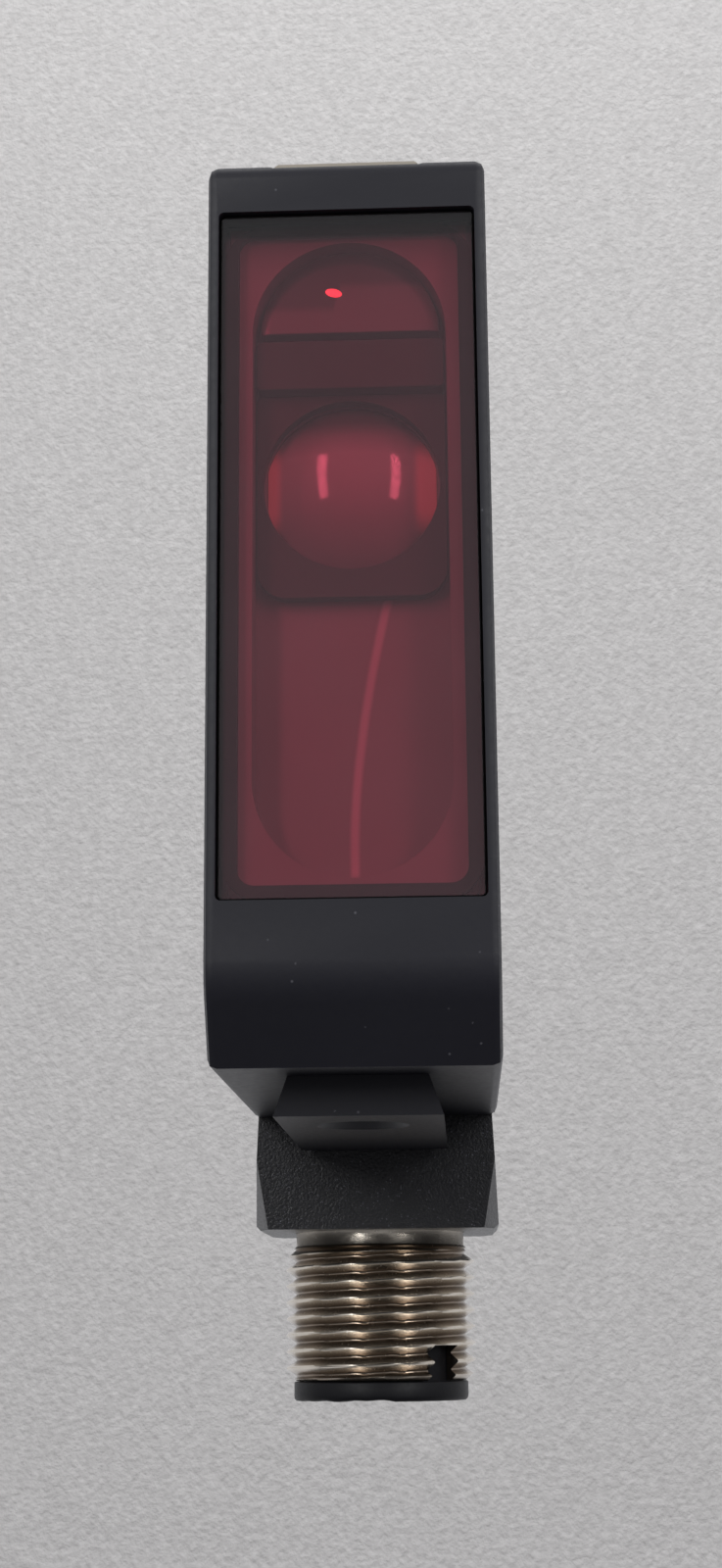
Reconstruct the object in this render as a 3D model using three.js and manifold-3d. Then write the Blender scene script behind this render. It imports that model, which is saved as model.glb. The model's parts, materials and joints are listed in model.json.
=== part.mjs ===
// Compact block photoelectric sensor: die-cast case, red front window over a sender and a receiver,
// dovetail rail below, and an M12 plug connector on a block that swings from down to back.
// Millimetres. +X right, +Y from the window into the case, +Z up.
// Everything is drawn from the bottom front edge of the case, and moved at the end so that
// the origin is the middle of the dovetail rail's foot.

import * as THREE from "three";
import { mergeVertices } from "three/addons/utils/BufferGeometryUtils.js";
import Module from "manifold-3d";

// Case
const BODY_WIDTH = 15;
const BODY_HEIGHT = 49;
const BODY_DEPTH = 42;
const SIDE_WALL = 1;
const REAR_WALL = 1.2;
const FLOOR_WALL = 5.2;
const ROOF_WALL = 2.4;
const FOOT_RISE = 4;
const FOOT_SETBACK = 2.4;
const FOOT_BLEND = 1.2;
const FOOT_WALL = 2.6;
const BROW_RADIUS = 1;
const TAIL_RADIUS = 1.5;
const EDGE_RADIUS = 0.5;

// Window recess and what fills it
const RIM = 0.6;
const CHIN = 8.2;
const BROW = 3;
const RECESS_RADIUS = 0.3;
const WINDOW_SETBACK = 0.4;
const WINDOW_THICKNESS = 1.2;
const FRAME_THICKNESS = 0.6;
const FRAME_SIDE = 0.95;
const FRAME_FOOT = 1.05;
const FRAME_HEAD = 0.6;
const FRAME_OUTER_RADIUS = 2.6;
const FRAME_INNER_RADIUS = 0.9;
const SEAT_LEDGE = 0.4;

// Dovetail rail and its tapped hole
const RAIL_FRONT = 6.1;
const RAIL_HEIGHT = 2.1;
const RAIL_ROOT = 7.4;
const RAIL_FOOT = 8.9;
const RAIL_END_GAP = 0.85;
const RAIL_HOLE_FROM_FRONT = 5.8;
const RAIL_HOLE_RADIUS = 2.1;
const RAIL_HOLE_DEPTH = 6;
const RAIL_HOLE_SINK = 0.45;

// Tapped holes through the sides, M4
const SIDE_HOLE_RADIUS = 1.65;
const SIDE_BOSS_RADIUS = 3;
const SIDE_HOLE_FROM_REAR = 3.8;
const SIDE_HOLE_FROM_TOP = 5.8;
const SIDE_HOLE_SPACING = 25;

// Cover strip along the top
const STRIP_WIDTH = 7.8;
const STRIP_THICKNESS = 0.4;
const STRIP_PROUD = 0.1;
const STRIP_REAR_MARGIN = 1.2;
const STRIP_GROOVE = 0.3;
const HATCH_WIDTH = 6.4;
const HATCH_END_MARGIN = 0.2;
const HATCH_GASKET_LIP = 0.8;
const HATCH_GASKET_DEPTH = 0.6;
const BOSS_DROP = 0.4;

// Side plate
const PLATE_LENGTH = 22;
const PLATE_HEIGHT = 26;
const PLATE_DEPTH = 0.15;
const PLATE_THICKNESS = 0.1;

// Optics
const CARRIER_DEPTH = 17.2;
const WELL_STRIP = 0.7;
const WELL_DEPTH = 2.4;
const WELL_MARGIN = 0.45;
const SENDER_DROP = 6.4;
const SENDER_BORE = 4.6;
const PARTITION = 3;
const RECEIVER_HEIGHT = 11.6;
const RECEIVER_LENS_DROP = 5.2;
const RECEIVER_LENS_DIAMETER = 9.5;
const RECEIVER_LENS_FLAT_GAP = 0.65;
const RECEIVER_BORE = 8;
const RETAINER_THICKNESS = 0.8;
const RETAINER_RADIUS = 1.6;
const LENS_EDGE = 0.7;
const LENS_CROWN = 1.5;
const LENS_SEAT = 1.2;
const SENSOR_BORE = 5.2;
const SENSOR_BORE_DEPTH = 6;

// Boards
const BOARD_THICKNESS = 1;
const BOARD_GAP = 0.25;
const PART_GAP = 0.05;
const OPTICS_BOARD_MARGIN = 1.2;
const MAIN_BOARD_FROM_WALL = 1.4;
const INDICATOR_BOARD_DROP = 6;
const POTENTIOMETER_HALF = 1.8;
const LIGHT_GUIDE_RADIUS = 0.6;
const LIGHT_FROM_HATCH_END = 0.8;

// Adjuster
const ADJUSTER_HEAD_RADIUS = 2;
const ADJUSTER_HEAD = 1.2;
const ADJUSTER_SHAFT_RADIUS = 1.2;
const ADJUSTER_KEY_RADIUS = 0.8;
const ADJUSTER_CLEARANCE = 0.1;
const ADJUSTER_SLOT = 0.7;

// Swivel connector
const KNUCKLE_RADIUS = 6.35;
const KNUCKLE_WIDTH = 14.4;
const NOTCH_GAP = 0.15;
const NOTCH_WALL = 1.2;
const BLOCK_DROP = 6.8;
const BLOCK_FLARE = 0.3;
const BLOCK_EDGE = 0.3;
const FACET_START = 1.5;
const FACET_WIDTH = 0.9;
const FACET_DEPTH = 2.4;
const FACET_OVERRUN = 0.6;
const LUG_WIDTH = 6;
const LUG_RADIUS = 4.6;
const LUG_GAP = 0.2;
const PIVOT_RADIUS = 1.2;
const PIVOT_RUNNING = 0.06;
const PIVOT_PRESS = 0.02;
const PIVOT_REACH = 1.7;
const PASSAGE_WIDTH = 2.4;
const PASSAGE_HEIGHT = 2.8;

// M12 plug
const THREAD_RADIUS = 5.95;
const THREAD_PITCH = 1;
const THREAD_DEPTH = 0.6;
const THREAD_TURNS = 8;
const COLLAR_RADIUS = 5.3;
const COLLAR_HEIGHT = 1.05;
const SHANK_HEIGHT = 4.7;
const SLEEVE_BORE = 4.95;
const SHANK_BORE = 4.25;
const RIM_RADIUS = 5.45;
const RIM_HEIGHT = 1.15;
const SOCKET_RADIUS = 4.35;
const SOCKET_DEPTH = 8.4;
const KEYWAY_WIDTH = 2;
const KEYWAY_HEIGHT = 2.1;
const KEYWAY_ANGLE = THREE.MathUtils.degToRad(45);
const KEY_RIB_WIDTH = 0.9;
const KEY_RIB_HEIGHT = 0.6;
const RING_GROOVE = 0.6;
const RING_GROOVE_HEIGHT = 1;
const PIN_RADIUS = 0.5;
const PIN_CIRCLE = 2.55;
const PIN_SET_BACK = 0.9;
const PIN_COUNT = 4;
const WIRE_RADIUS = 0.28;
const WIRE_SPACING = 0.7;
const WIRE_ROOM_RADIUS = 3.6;

// Fits
const FIT = 0.05;
const ROUND = 24;
const FINE_ROUND = 40;

// Places worked out from the sizes above
const HALF_WIDTH = BODY_WIDTH / 2;
const CAVITY_HALF = HALF_WIDTH - SIDE_WALL;
const RECESS_HALF = HALF_WIDTH - RIM;
const RECESS_TOP = BODY_HEIGHT - BROW;
const SEAT_Y = WINDOW_SETBACK + WINDOW_THICKNESS + FRAME_THICKNESS + 2 * FIT;
const FRAME_BOTTOM_Z = CHIN + FRAME_FOOT;
const FRAME_TOP_Z = RECESS_TOP - FRAME_HEAD;
const CAVITY_TOP = BODY_HEIGHT - ROOF_WALL;
const CAVITY_FRONT_FLOOR = CHIN + SEAT_LEDGE;
const CAVITY_REAR = BODY_DEPTH - REAR_WALL;
const HINGE_Y = BODY_DEPTH - KNUCKLE_RADIUS;
const HINGE_Z = KNUCKLE_RADIUS;
const NOTCH_RADIUS = KNUCKLE_RADIUS + NOTCH_GAP;
const NOTCH_SHELL = NOTCH_RADIUS + NOTCH_WALL;
const RAIL_REAR = HINGE_Y - NOTCH_RADIUS - RAIL_END_GAP;
const RAIL_MIDDLE = (RAIL_FRONT + RAIL_REAR) / 2;
const RAIL_HOLE_Y = RAIL_FRONT + RAIL_HOLE_FROM_FRONT;
const CARRIER_FRONT = SEAT_Y + FIT;
const CARRIER_REAR = CARRIER_FRONT + CARRIER_DEPTH;
const CARRIER_HALF = CAVITY_HALF - FIT;
const CARRIER_BOTTOM = CAVITY_FRONT_FLOOR + FIT;
const CARRIER_TOP = CAVITY_TOP - FIT;
const WELL_HALF = RECESS_HALF - FRAME_SIDE - WELL_STRIP;
const WELL_BOTTOM = FRAME_BOTTOM_Z + WELL_MARGIN;
const WELL_TOP = FRAME_TOP_Z - WELL_MARGIN / 2;
const WELL_FLOOR = CARRIER_FRONT + WELL_DEPTH;
const ARCH_Z = WELL_TOP - WELL_HALF;
const SENDER_Z = BODY_HEIGHT - SENDER_DROP;
const RECEIVER_TOP = ARCH_Z - PARTITION;
const RECEIVER_Z = RECEIVER_TOP - RECEIVER_LENS_DROP;
const OPTICS_BOARD_FRONT = CARRIER_REAR + BOARD_GAP;
const OPTICS_BOARD_REAR = OPTICS_BOARD_FRONT + BOARD_THICKNESS;
const MAIN_BOARD_X = -CAVITY_HALF + MAIN_BOARD_FROM_WALL;
const MAIN_BOARD_FACE = MAIN_BOARD_X + BOARD_THICKNESS;
const MAIN_BOARD_FRONT = OPTICS_BOARD_REAR + BOARD_GAP;
const MAIN_BOARD_REAR = BODY_DEPTH - SIDE_HOLE_FROM_REAR - SIDE_BOSS_RADIUS - BOARD_GAP;
const MAIN_BOARD_BOTTOM = HINGE_Z + NOTCH_SHELL + 1;
const INDICATOR_BOARD_Z = BODY_HEIGHT - INDICATOR_BOARD_DROP;
const INDICATOR_FACE = INDICATOR_BOARD_Z + BOARD_THICKNESS;
const STRIP_FLOOR = BODY_HEIGHT + STRIP_PROUD - STRIP_THICKNESS;
const HATCH_FRONT = MAIN_BOARD_FRONT + HATCH_END_MARGIN;
const HATCH_REAR = MAIN_BOARD_REAR - HATCH_END_MARGIN;
const HATCH_MIDDLE = (HATCH_FRONT + HATCH_REAR) / 2;
const BOSS_BOTTOM = CAVITY_TOP - BOSS_DROP;
const ADJUSTER_TOP = BODY_HEIGHT - 0.1;
const HEAD_UNDERSIDE = ADJUSTER_TOP - ADJUSTER_HEAD;
const HEAD_SEAT = HEAD_UNDERSIDE - 0.7;
const COLLAR_TOP = -BLOCK_DROP;
const THREAD_TOP = COLLAR_TOP - COLLAR_HEIGHT;
const THREAD_BOTTOM = THREAD_TOP - THREAD_TURNS * THREAD_PITCH;
const RIM_TOP = THREAD_BOTTOM - FIT;
const RIM_BOTTOM = RIM_TOP - RIM_HEIGHT;
const SHANK_TOP = COLLAR_TOP + SHANK_HEIGHT;
const SLOT_RADIUS = LUG_RADIUS + LUG_GAP;
const SLOT_HALF = LUG_WIDTH / 2 + FIT * 3;
const SOCKET_TOP = RIM_BOTTOM + SOCKET_DEPTH;
const WIRE_ROOM_TOP = HINGE_Z - SLOT_RADIUS;

const wasm = await Module();
wasm.setup();

// Booleans
function solid(geometry) {
  const bare = geometry.clone();
  bare.deleteAttribute("normal");
  bare.deleteAttribute("uv");
  const merged = mergeVertices(bare, 1e-4);
  const vertProperties = new Float32Array(merged.attributes.position.array);
  const triVerts = new Uint32Array(merged.index.array);
  return new wasm.Manifold(new wasm.Mesh({ numProp: 3, vertProperties, triVerts }));
}

function geometryOf(body) {
  const mesh = body.getMesh();
  const geometry = new THREE.BufferGeometry();
  geometry.setAttribute("position", new THREE.BufferAttribute(mesh.vertProperties, 3));
  geometry.setIndex(new THREE.BufferAttribute(mesh.triVerts, 1));
  geometry.computeVertexNormals();
  return geometry;
}

function built(base, { plus = [], minus = [] }) {
  let body = solid(base);
  for (const piece of plus) {
    body = body.add(solid(piece));
  }
  for (const piece of minus) {
    body = body.subtract(solid(piece));
  }
  return geometryOf(body);
}

function common(first, second) {
  return geometryOf(solid(first).intersect(solid(second)));
}

// Outlines and simple solids
function polygon(points) {
  return new THREE.Shape(points.map(([x, y]) => new THREE.Vector2(x, y)));
}

function roundedOutline(left, right, bottom, top, radii) {
  const [bottomLeft, bottomRight, topRight, topLeft] = radii;
  const half = Math.PI / 2;
  const shape = new THREE.Shape();
  shape.moveTo(left + bottomLeft, bottom);
  shape.lineTo(right - bottomRight, bottom);
  if (bottomRight > 0) {
    shape.absarc(right - bottomRight, bottom + bottomRight, bottomRight, -half, 0, false);
  }
  shape.lineTo(right, top - topRight);
  if (topRight > 0) {
    shape.absarc(right - topRight, top - topRight, topRight, 0, half, false);
  }
  shape.lineTo(left + topLeft, top);
  if (topLeft > 0) {
    shape.absarc(left + topLeft, top - topLeft, topLeft, half, Math.PI, false);
  }
  shape.lineTo(left, bottom + bottomLeft);
  if (bottomLeft > 0) {
    shape.absarc(left + bottomLeft, bottom + bottomLeft, bottomLeft, Math.PI, 3 * half, false);
  }
  return shape;
}

function evenOutline(left, right, bottom, top, radius) {
  return roundedOutline(left, right, bottom, top, [radius, radius, radius, radius]);
}

// A shape drawn as (X, Z), made solid from y0 to y1.
function alongY(shape, y0, y1, segments = 6) {
  const geometry = new THREE.ExtrudeGeometry(shape, {
    depth: y1 - y0,
    bevelEnabled: false,
    curveSegments: segments,
  });
  return geometry.rotateX(Math.PI / 2).translate(0, y1, 0);
}

// A shape drawn as (Y, Z), made solid from x0 to x1.
function alongX(shape, x0, x1, segments = 6, bevel = 0) {
  const geometry = new THREE.ExtrudeGeometry(shape, {
    depth: x1 - x0 - 2 * bevel,
    bevelEnabled: bevel > 0,
    bevelThickness: bevel,
    bevelSize: bevel,
    bevelOffset: -bevel,
    bevelSegments: 2,
    curveSegments: segments,
  });
  return geometry.rotateX(Math.PI / 2).rotateZ(Math.PI / 2).translate(x0 + bevel, 0, 0);
}

function box(x0, x1, y0, y1, z0, z1) {
  const geometry = new THREE.BoxGeometry(x1 - x0, y1 - y0, z1 - z0);
  return geometry.translate((x0 + x1) / 2, (y0 + y1) / 2, (z0 + z1) / 2);
}

function rodX(radius, x0, x1, y, z, sides = ROUND) {
  const geometry = new THREE.CylinderGeometry(radius, radius, x1 - x0, sides);
  return geometry.rotateZ(Math.PI / 2).translate((x0 + x1) / 2, y, z);
}

function rodY(radius, y0, y1, x, z, sides = ROUND, rearRadius = radius) {
  const geometry = new THREE.CylinderGeometry(rearRadius, radius, y1 - y0, sides);
  return geometry.translate(x, (y0 + y1) / 2, z);
}

function rodZ(radius, z0, z1, x, y, sides = ROUND) {
  const geometry = new THREE.CylinderGeometry(radius, radius, z1 - z0, sides);
  return geometry.rotateX(Math.PI / 2).translate(x, y, (z0 + z1) / 2);
}

// A profile of (radius, z) points, turned about a vertical line.
function turnedZ(points, x, y, sides = ROUND) {
  const profile = points.map(([radius, z]) => new THREE.Vector2(radius, z));
  return new THREE.LatheGeometry(profile, sides).rotateX(Math.PI / 2).translate(x, y, 0);
}

function ringZ(radius, section, x, y, z) {
  return new THREE.TorusGeometry(radius, section, 8, ROUND).translate(x, y, z);
}

// A flat-backed lens: round, facing -Y, with its flat back at y.
function lens(radius, edge, crown, y, z) {
  const steps = 6;
  const sphere = (radius * radius + crown * crown) / (2 * crown);
  const profile = [new THREE.Vector2(0, 0), new THREE.Vector2(radius, 0)];
  for (let i = 0; i <= steps; i += 1) {
    const r = radius * (1 - i / steps);
    const rise = Math.sqrt(sphere * sphere - r * r) - (sphere - crown);
    profile.push(new THREE.Vector2(r, edge + rise));
  }
  const geometry = new THREE.LatheGeometry(profile, FINE_ROUND);
  return geometry.rotateX(Math.PI).translate(0, y, z);
}

function wire(points) {
  const path = new THREE.CatmullRomCurve3(points.map((p) => new THREE.Vector3(...p)));
  const section = new THREE.Shape();
  section.absarc(0, 0, WIRE_RADIUS, 0, 2 * Math.PI, false);
  return new THREE.ExtrudeGeometry(section, {
    steps: 12,
    bevelEnabled: false,
    curveSegments: 4,
    extrudePath: path,
  });
}

// Finishes
function finish(color, roughness, metalness = 0) {
  return new THREE.MeshStandardMaterial({ color, roughness, metalness });
}

const CAST_BLACK = finish(0x2f2f33, 0.55, 0.2);
const RED_ACRYLIC = finish(0x60373f, 0.15);
const GASKET_BLACK = finish(0x1c191b, 0.8);
const MOULDED_BLACK = finish(0x1d1c1e, 0.6);
const CLEAR_ACRYLIC = finish(0xd8d0d2, 0.08);
const SMOKED_STRIP = finish(0x9a938a, 0.4);
const PLATE_SILVER = finish(0xa9a9a8, 0.45, 0.5);
const BOARD_GREEN = finish(0x1f5a37, 0.5);
const CHIP_BLACK = finish(0x18181a, 0.5);
const TINNED = finish(0xb9b9b4, 0.35, 0.9);
const NICKEL = finish(0xb2aa98, 0.3, 0.95);
const GOLD_PLATE = finish(0xd0a850, 0.25, 0.95);
const STEEL = finish(0x9c9ea0, 0.3, 0.95);
const RUBBER_BLACK = finish(0x141414, 0.85);
const NYLON_WHITE = finish(0xdad7cc, 0.5);

const sensor = new THREE.Group();

function place(name, geometry, material) {
  const mesh = new THREE.Mesh(geometry, material.clone());
  mesh.name = name;
  sensor.add(mesh);
}

// ---- Case ----

// The front ends in a sloping foot, blended into the window side.
function bodyOutline() {
  const half = Math.PI / 2;
  const share = FOOT_BLEND / Math.hypot(FOOT_SETBACK, FOOT_RISE);
  const shape = new THREE.Shape();
  shape.moveTo(FOOT_SETBACK, 0);
  shape.lineTo(BODY_DEPTH, 0);
  shape.lineTo(BODY_DEPTH, BODY_HEIGHT - TAIL_RADIUS);
  shape.absarc(BODY_DEPTH - TAIL_RADIUS, BODY_HEIGHT - TAIL_RADIUS, TAIL_RADIUS, 0, half, false);
  shape.lineTo(BROW_RADIUS, BODY_HEIGHT);
  shape.absarc(BROW_RADIUS, BODY_HEIGHT - BROW_RADIUS, BROW_RADIUS, half, Math.PI, false);
  shape.lineTo(0, FOOT_RISE + FOOT_BLEND);
  shape.quadraticCurveTo(0, FOOT_RISE, FOOT_SETBACK * share, FOOT_RISE * (1 - share));
  shape.lineTo(FOOT_SETBACK, 0);
  return shape;
}

function cavityOutline() {
  const shape = new THREE.Shape();
  const notchFront = HINGE_Y - NOTCH_SHELL;
  const chinInside = FOOT_SETBACK + FOOT_WALL;
  shape.moveTo(SEAT_Y - FIT, CAVITY_FRONT_FLOOR);
  shape.lineTo(chinInside, CAVITY_FRONT_FLOOR);
  shape.lineTo(chinInside, FLOOR_WALL);
  shape.lineTo(notchFront, FLOOR_WALL);
  shape.lineTo(notchFront, HINGE_Z);
  shape.absarc(HINGE_Y, HINGE_Z, NOTCH_SHELL, Math.PI, Math.PI / 2, true);
  shape.lineTo(CAVITY_REAR, HINGE_Z + NOTCH_SHELL);
  shape.lineTo(CAVITY_REAR, CAVITY_TOP);
  shape.lineTo(SEAT_Y - FIT, CAVITY_TOP);
  return shape;
}

function notchOutline() {
  const shape = new THREE.Shape();
  shape.moveTo(HINGE_Y - NOTCH_RADIUS, -1);
  shape.lineTo(HINGE_Y - NOTCH_RADIUS, HINGE_Z);
  shape.absarc(HINGE_Y, HINGE_Z, NOTCH_RADIUS, Math.PI, Math.PI / 2, true);
  shape.lineTo(BODY_DEPTH + 1, HINGE_Z + NOTCH_RADIUS);
  shape.lineTo(BODY_DEPTH + 1, -1);
  return shape;
}

function railOutline() {
  return polygon([
    [-RAIL_FOOT / 2, -RAIL_HEIGHT],
    [RAIL_FOOT / 2, -RAIL_HEIGHT],
    [RAIL_ROOT / 2, 0],
    [RAIL_ROOT / 2, 0.5],
    [-RAIL_ROOT / 2, 0.5],
    [-RAIL_ROOT / 2, 0],
  ]);
}

// The lug fills the notch's upper front quarter and ends in a round nose at the hinge.
function lugPieces() {
  const reach = NOTCH_RADIUS + NOTCH_WALL / 2;
  const web = new THREE.Shape();
  web.moveTo(HINGE_Y, HINGE_Z);
  web.lineTo(HINGE_Y, HINGE_Z + reach);
  web.absarc(HINGE_Y, HINGE_Z, reach, Math.PI / 2, Math.PI, false);
  return [
    alongX(web, -LUG_WIDTH / 2, LUG_WIDTH / 2),
    rodX(LUG_RADIUS, -LUG_WIDTH / 2, LUG_WIDTH / 2, HINGE_Y, HINGE_Z, FINE_ROUND),
  ];
}

// The wire passage slants from the case down to the hinge and opens below and behind it.
function passagePieces() {
  const half = PASSAGE_WIDTH / 2;
  const reach = NOTCH_SHELL + 1.5;
  const slant = box(-half, half, -reach, 0, -PASSAGE_HEIGHT / 2, PASSAGE_HEIGHT / 2);
  slant.rotateX(-Math.PI / 4).translate(0, HINGE_Y, HINGE_Z);
  const opening = PASSAGE_HEIGHT / 2;
  const mouth = box(
    -half,
    half,
    HINGE_Y - opening,
    HINGE_Y + SLOT_RADIUS,
    HINGE_Z - SLOT_RADIUS,
    HINGE_Z + opening,
  );
  return [slant, mouth];
}

function sideHoleHeights() {
  const top = BODY_HEIGHT - SIDE_HOLE_FROM_TOP;
  return [top, top - SIDE_HOLE_SPACING];
}

function housing() {
  const outer = alongX(bodyOutline(), -HALF_WIDTH, HALF_WIDTH, 8, EDGE_RADIUS);
  const shell = built(outer, {
    plus: [alongY(railOutline(), RAIL_FRONT, RAIL_REAR)],
    minus: [
      alongX(cavityOutline(), -CAVITY_HALF, CAVITY_HALF, 8),
      alongX(notchOutline(), -HALF_WIDTH - 1, HALF_WIDTH + 1, 12),
      alongY(evenOutline(-RECESS_HALF, RECESS_HALF, CHIN, RECESS_TOP, RECESS_RADIUS), -1, SEAT_Y),
      alongY(channelOutline(), -1, BODY_DEPTH - STRIP_REAR_MARGIN),
      hatchCut(HATCH_WIDTH / 2, 0, CAVITY_TOP - 1, BODY_HEIGHT),
      hatchCut(HATCH_WIDTH / 2 + HATCH_GASKET_LIP, HATCH_GASKET_LIP,
        STRIP_FLOOR - HATCH_GASKET_DEPTH, BODY_HEIGHT),
      rodZ(RAIL_HOLE_RADIUS, -RAIL_HEIGHT - 1, RAIL_HOLE_DEPTH - RAIL_HEIGHT, 0, RAIL_HOLE_Y),
      railHoleMouth(),
      box(-HALF_WIDTH - 1, -HALF_WIDTH + PLATE_DEPTH, plateFront(), plateFront() + PLATE_LENGTH,
        plateBottom(), plateBottom() + PLATE_HEIGHT),
    ],
  });
  const bosses = sideHoleHeights().map((z) =>
    rodX(SIDE_BOSS_RADIUS, -CAVITY_HALF - 0.2, CAVITY_HALF + 0.2, BODY_DEPTH - SIDE_HOLE_FROM_REAR, z));
  const holes = sideHoleHeights().map((z) =>
    rodX(SIDE_HOLE_RADIUS, -HALF_WIDTH - 1, HALF_WIDTH + 1, BODY_DEPTH - SIDE_HOLE_FROM_REAR, z));
  const pivot = rodX(PIVOT_RADIUS + PIVOT_RUNNING, -LUG_WIDTH, LUG_WIDTH, HINGE_Y, HINGE_Z);
  return built(shell, {
    plus: [...bosses, ...lugPieces()],
    minus: [...holes, ...passagePieces(), pivot],
  });
}

// The strip's channel, with both of its top edges bevelled.
function channelOutline() {
  const half = STRIP_WIDTH / 2 + FIT * 2;
  return polygon([
    [-half, STRIP_FLOOR],
    [half, STRIP_FLOOR],
    [half, BODY_HEIGHT - STRIP_GROOVE],
    [half + STRIP_GROOVE, BODY_HEIGHT],
    [half + STRIP_GROOVE, BODY_HEIGHT + 1],
    [-half - STRIP_GROOVE, BODY_HEIGHT + 1],
    [-half - STRIP_GROOVE, BODY_HEIGHT],
    [-half, BODY_HEIGHT - STRIP_GROOVE],
  ]);
}

// The countersunk mouth of the rail's tapped hole.
function railHoleMouth() {
  const wide = RAIL_HOLE_RADIUS + RAIL_HOLE_SINK;
  return turnedZ([
    [0, -RAIL_HEIGHT - 1],
    [wide, -RAIL_HEIGHT - 1],
    [wide, -RAIL_HEIGHT],
    [RAIL_HOLE_RADIUS, RAIL_HOLE_SINK - RAIL_HEIGHT],
    [0, RAIL_HOLE_SINK - RAIL_HEIGHT],
  ], 0, RAIL_HOLE_Y);
}

function hatchCut(halfWidth, lip, bottom, top) {
  return box(-halfWidth, halfWidth, HATCH_FRONT - lip, HATCH_REAR + lip, bottom, top);
}

function plateFront() {
  return (BODY_DEPTH - PLATE_LENGTH) / 2 - 1;
}

function plateBottom() {
  return (BODY_HEIGHT - PLATE_HEIGHT) / 2 + 4;
}

function sideLabel() {
  const y = plateFront();
  const z = plateBottom();
  const outline = evenOutline(y + FIT, y + PLATE_LENGTH - FIT, z + FIT, z + PLATE_HEIGHT - FIT, 0.6);
  const back = -HALF_WIDTH + PLATE_DEPTH - 0.01;
  return alongX(outline, back - PLATE_THICKNESS, back);
}

function paneOutline(radius) {
  return evenOutline(-RECESS_HALF + FIT, RECESS_HALF - FIT, CHIN + FIT, RECESS_TOP - FIT, radius);
}

function frontWindow() {
  return alongY(paneOutline(RECESS_RADIUS), WINDOW_SETBACK, WINDOW_SETBACK + WINDOW_THICKNESS);
}

function windowFrame() {
  const shape = paneOutline(FRAME_OUTER_RADIUS);
  const half = RECESS_HALF - FRAME_SIDE;
  shape.holes.push(evenOutline(-half, half, FRAME_BOTTOM_Z, FRAME_TOP_Z, FRAME_INNER_RADIUS));
  const front = WINDOW_SETBACK + WINDOW_THICKNESS + FIT;
  return alongY(shape, front, front + FRAME_THICKNESS);
}

function indicatorCover() {
  const half = STRIP_WIDTH / 2;
  const rear = BODY_DEPTH - STRIP_REAR_MARGIN - FIT;
  const top = BODY_HEIGHT + STRIP_PROUD;
  const side = new THREE.Shape();
  side.moveTo(BROW_RADIUS * 0.3, STRIP_FLOOR);
  side.lineTo(rear, STRIP_FLOOR);
  side.lineTo(rear, top - 0.15);
  side.lineTo(rear - 0.15, top);
  side.lineTo(BROW_RADIUS, top);
  side.lineTo(BROW_RADIUS * 0.45, top - 0.12);
  const across = polygon([
    [-half, STRIP_FLOOR - 1],
    [half, STRIP_FLOOR - 1],
    [half, top - STRIP_GROOVE],
    [half - STRIP_GROOVE, top],
    [-half + STRIP_GROOVE, top],
    [-half, top - STRIP_GROOVE],
  ]);
  const plate = common(alongX(side, -half, half), alongY(across, -1, BODY_DEPTH));
  const boss = box(-HATCH_WIDTH / 2 + FIT, HATCH_WIDTH / 2 - FIT, HATCH_FRONT + FIT,
    HATCH_REAR - FIT, BOSS_BOTTOM, STRIP_FLOOR + STRIP_THICKNESS / 2);
  const bore = ADJUSTER_HEAD_RADIUS + ADJUSTER_CLEARANCE;
  return built(plate, {
    plus: [boss],
    minus: [
      rodZ(bore, HEAD_SEAT, top + 1, 0, HATCH_MIDDLE),
      rodZ(ADJUSTER_SHAFT_RADIUS + ADJUSTER_CLEARANCE, BOSS_BOTTOM - 1, top, 0, HATCH_MIDDLE),
    ],
  });
}

function coverGasket() {
  const lip = HATCH_GASKET_LIP - FIT;
  const outer = hatchCut(HATCH_WIDTH / 2 + lip, lip, STRIP_FLOOR - HATCH_GASKET_DEPTH + FIT,
    STRIP_FLOOR - FIT);
  return built(outer, { minus: [hatchCut(HATCH_WIDTH / 2, 0, CAVITY_TOP, BODY_HEIGHT)] });
}

// ---- Optics ----

function wellOutline() {
  return evenOutline(-WELL_HALF, WELL_HALF, WELL_BOTTOM, WELL_TOP, WELL_HALF);
}

// The half-round field at the top of the well, with its flat side down.
function archOutline(gap) {
  const shape = new THREE.Shape();
  shape.moveTo(-WELL_HALF + gap, ARCH_Z + gap);
  shape.lineTo(WELL_HALF - gap, ARCH_Z + gap);
  shape.absarc(0, ARCH_Z + gap, WELL_HALF - gap, 0, Math.PI, false);
  return shape;
}

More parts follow.
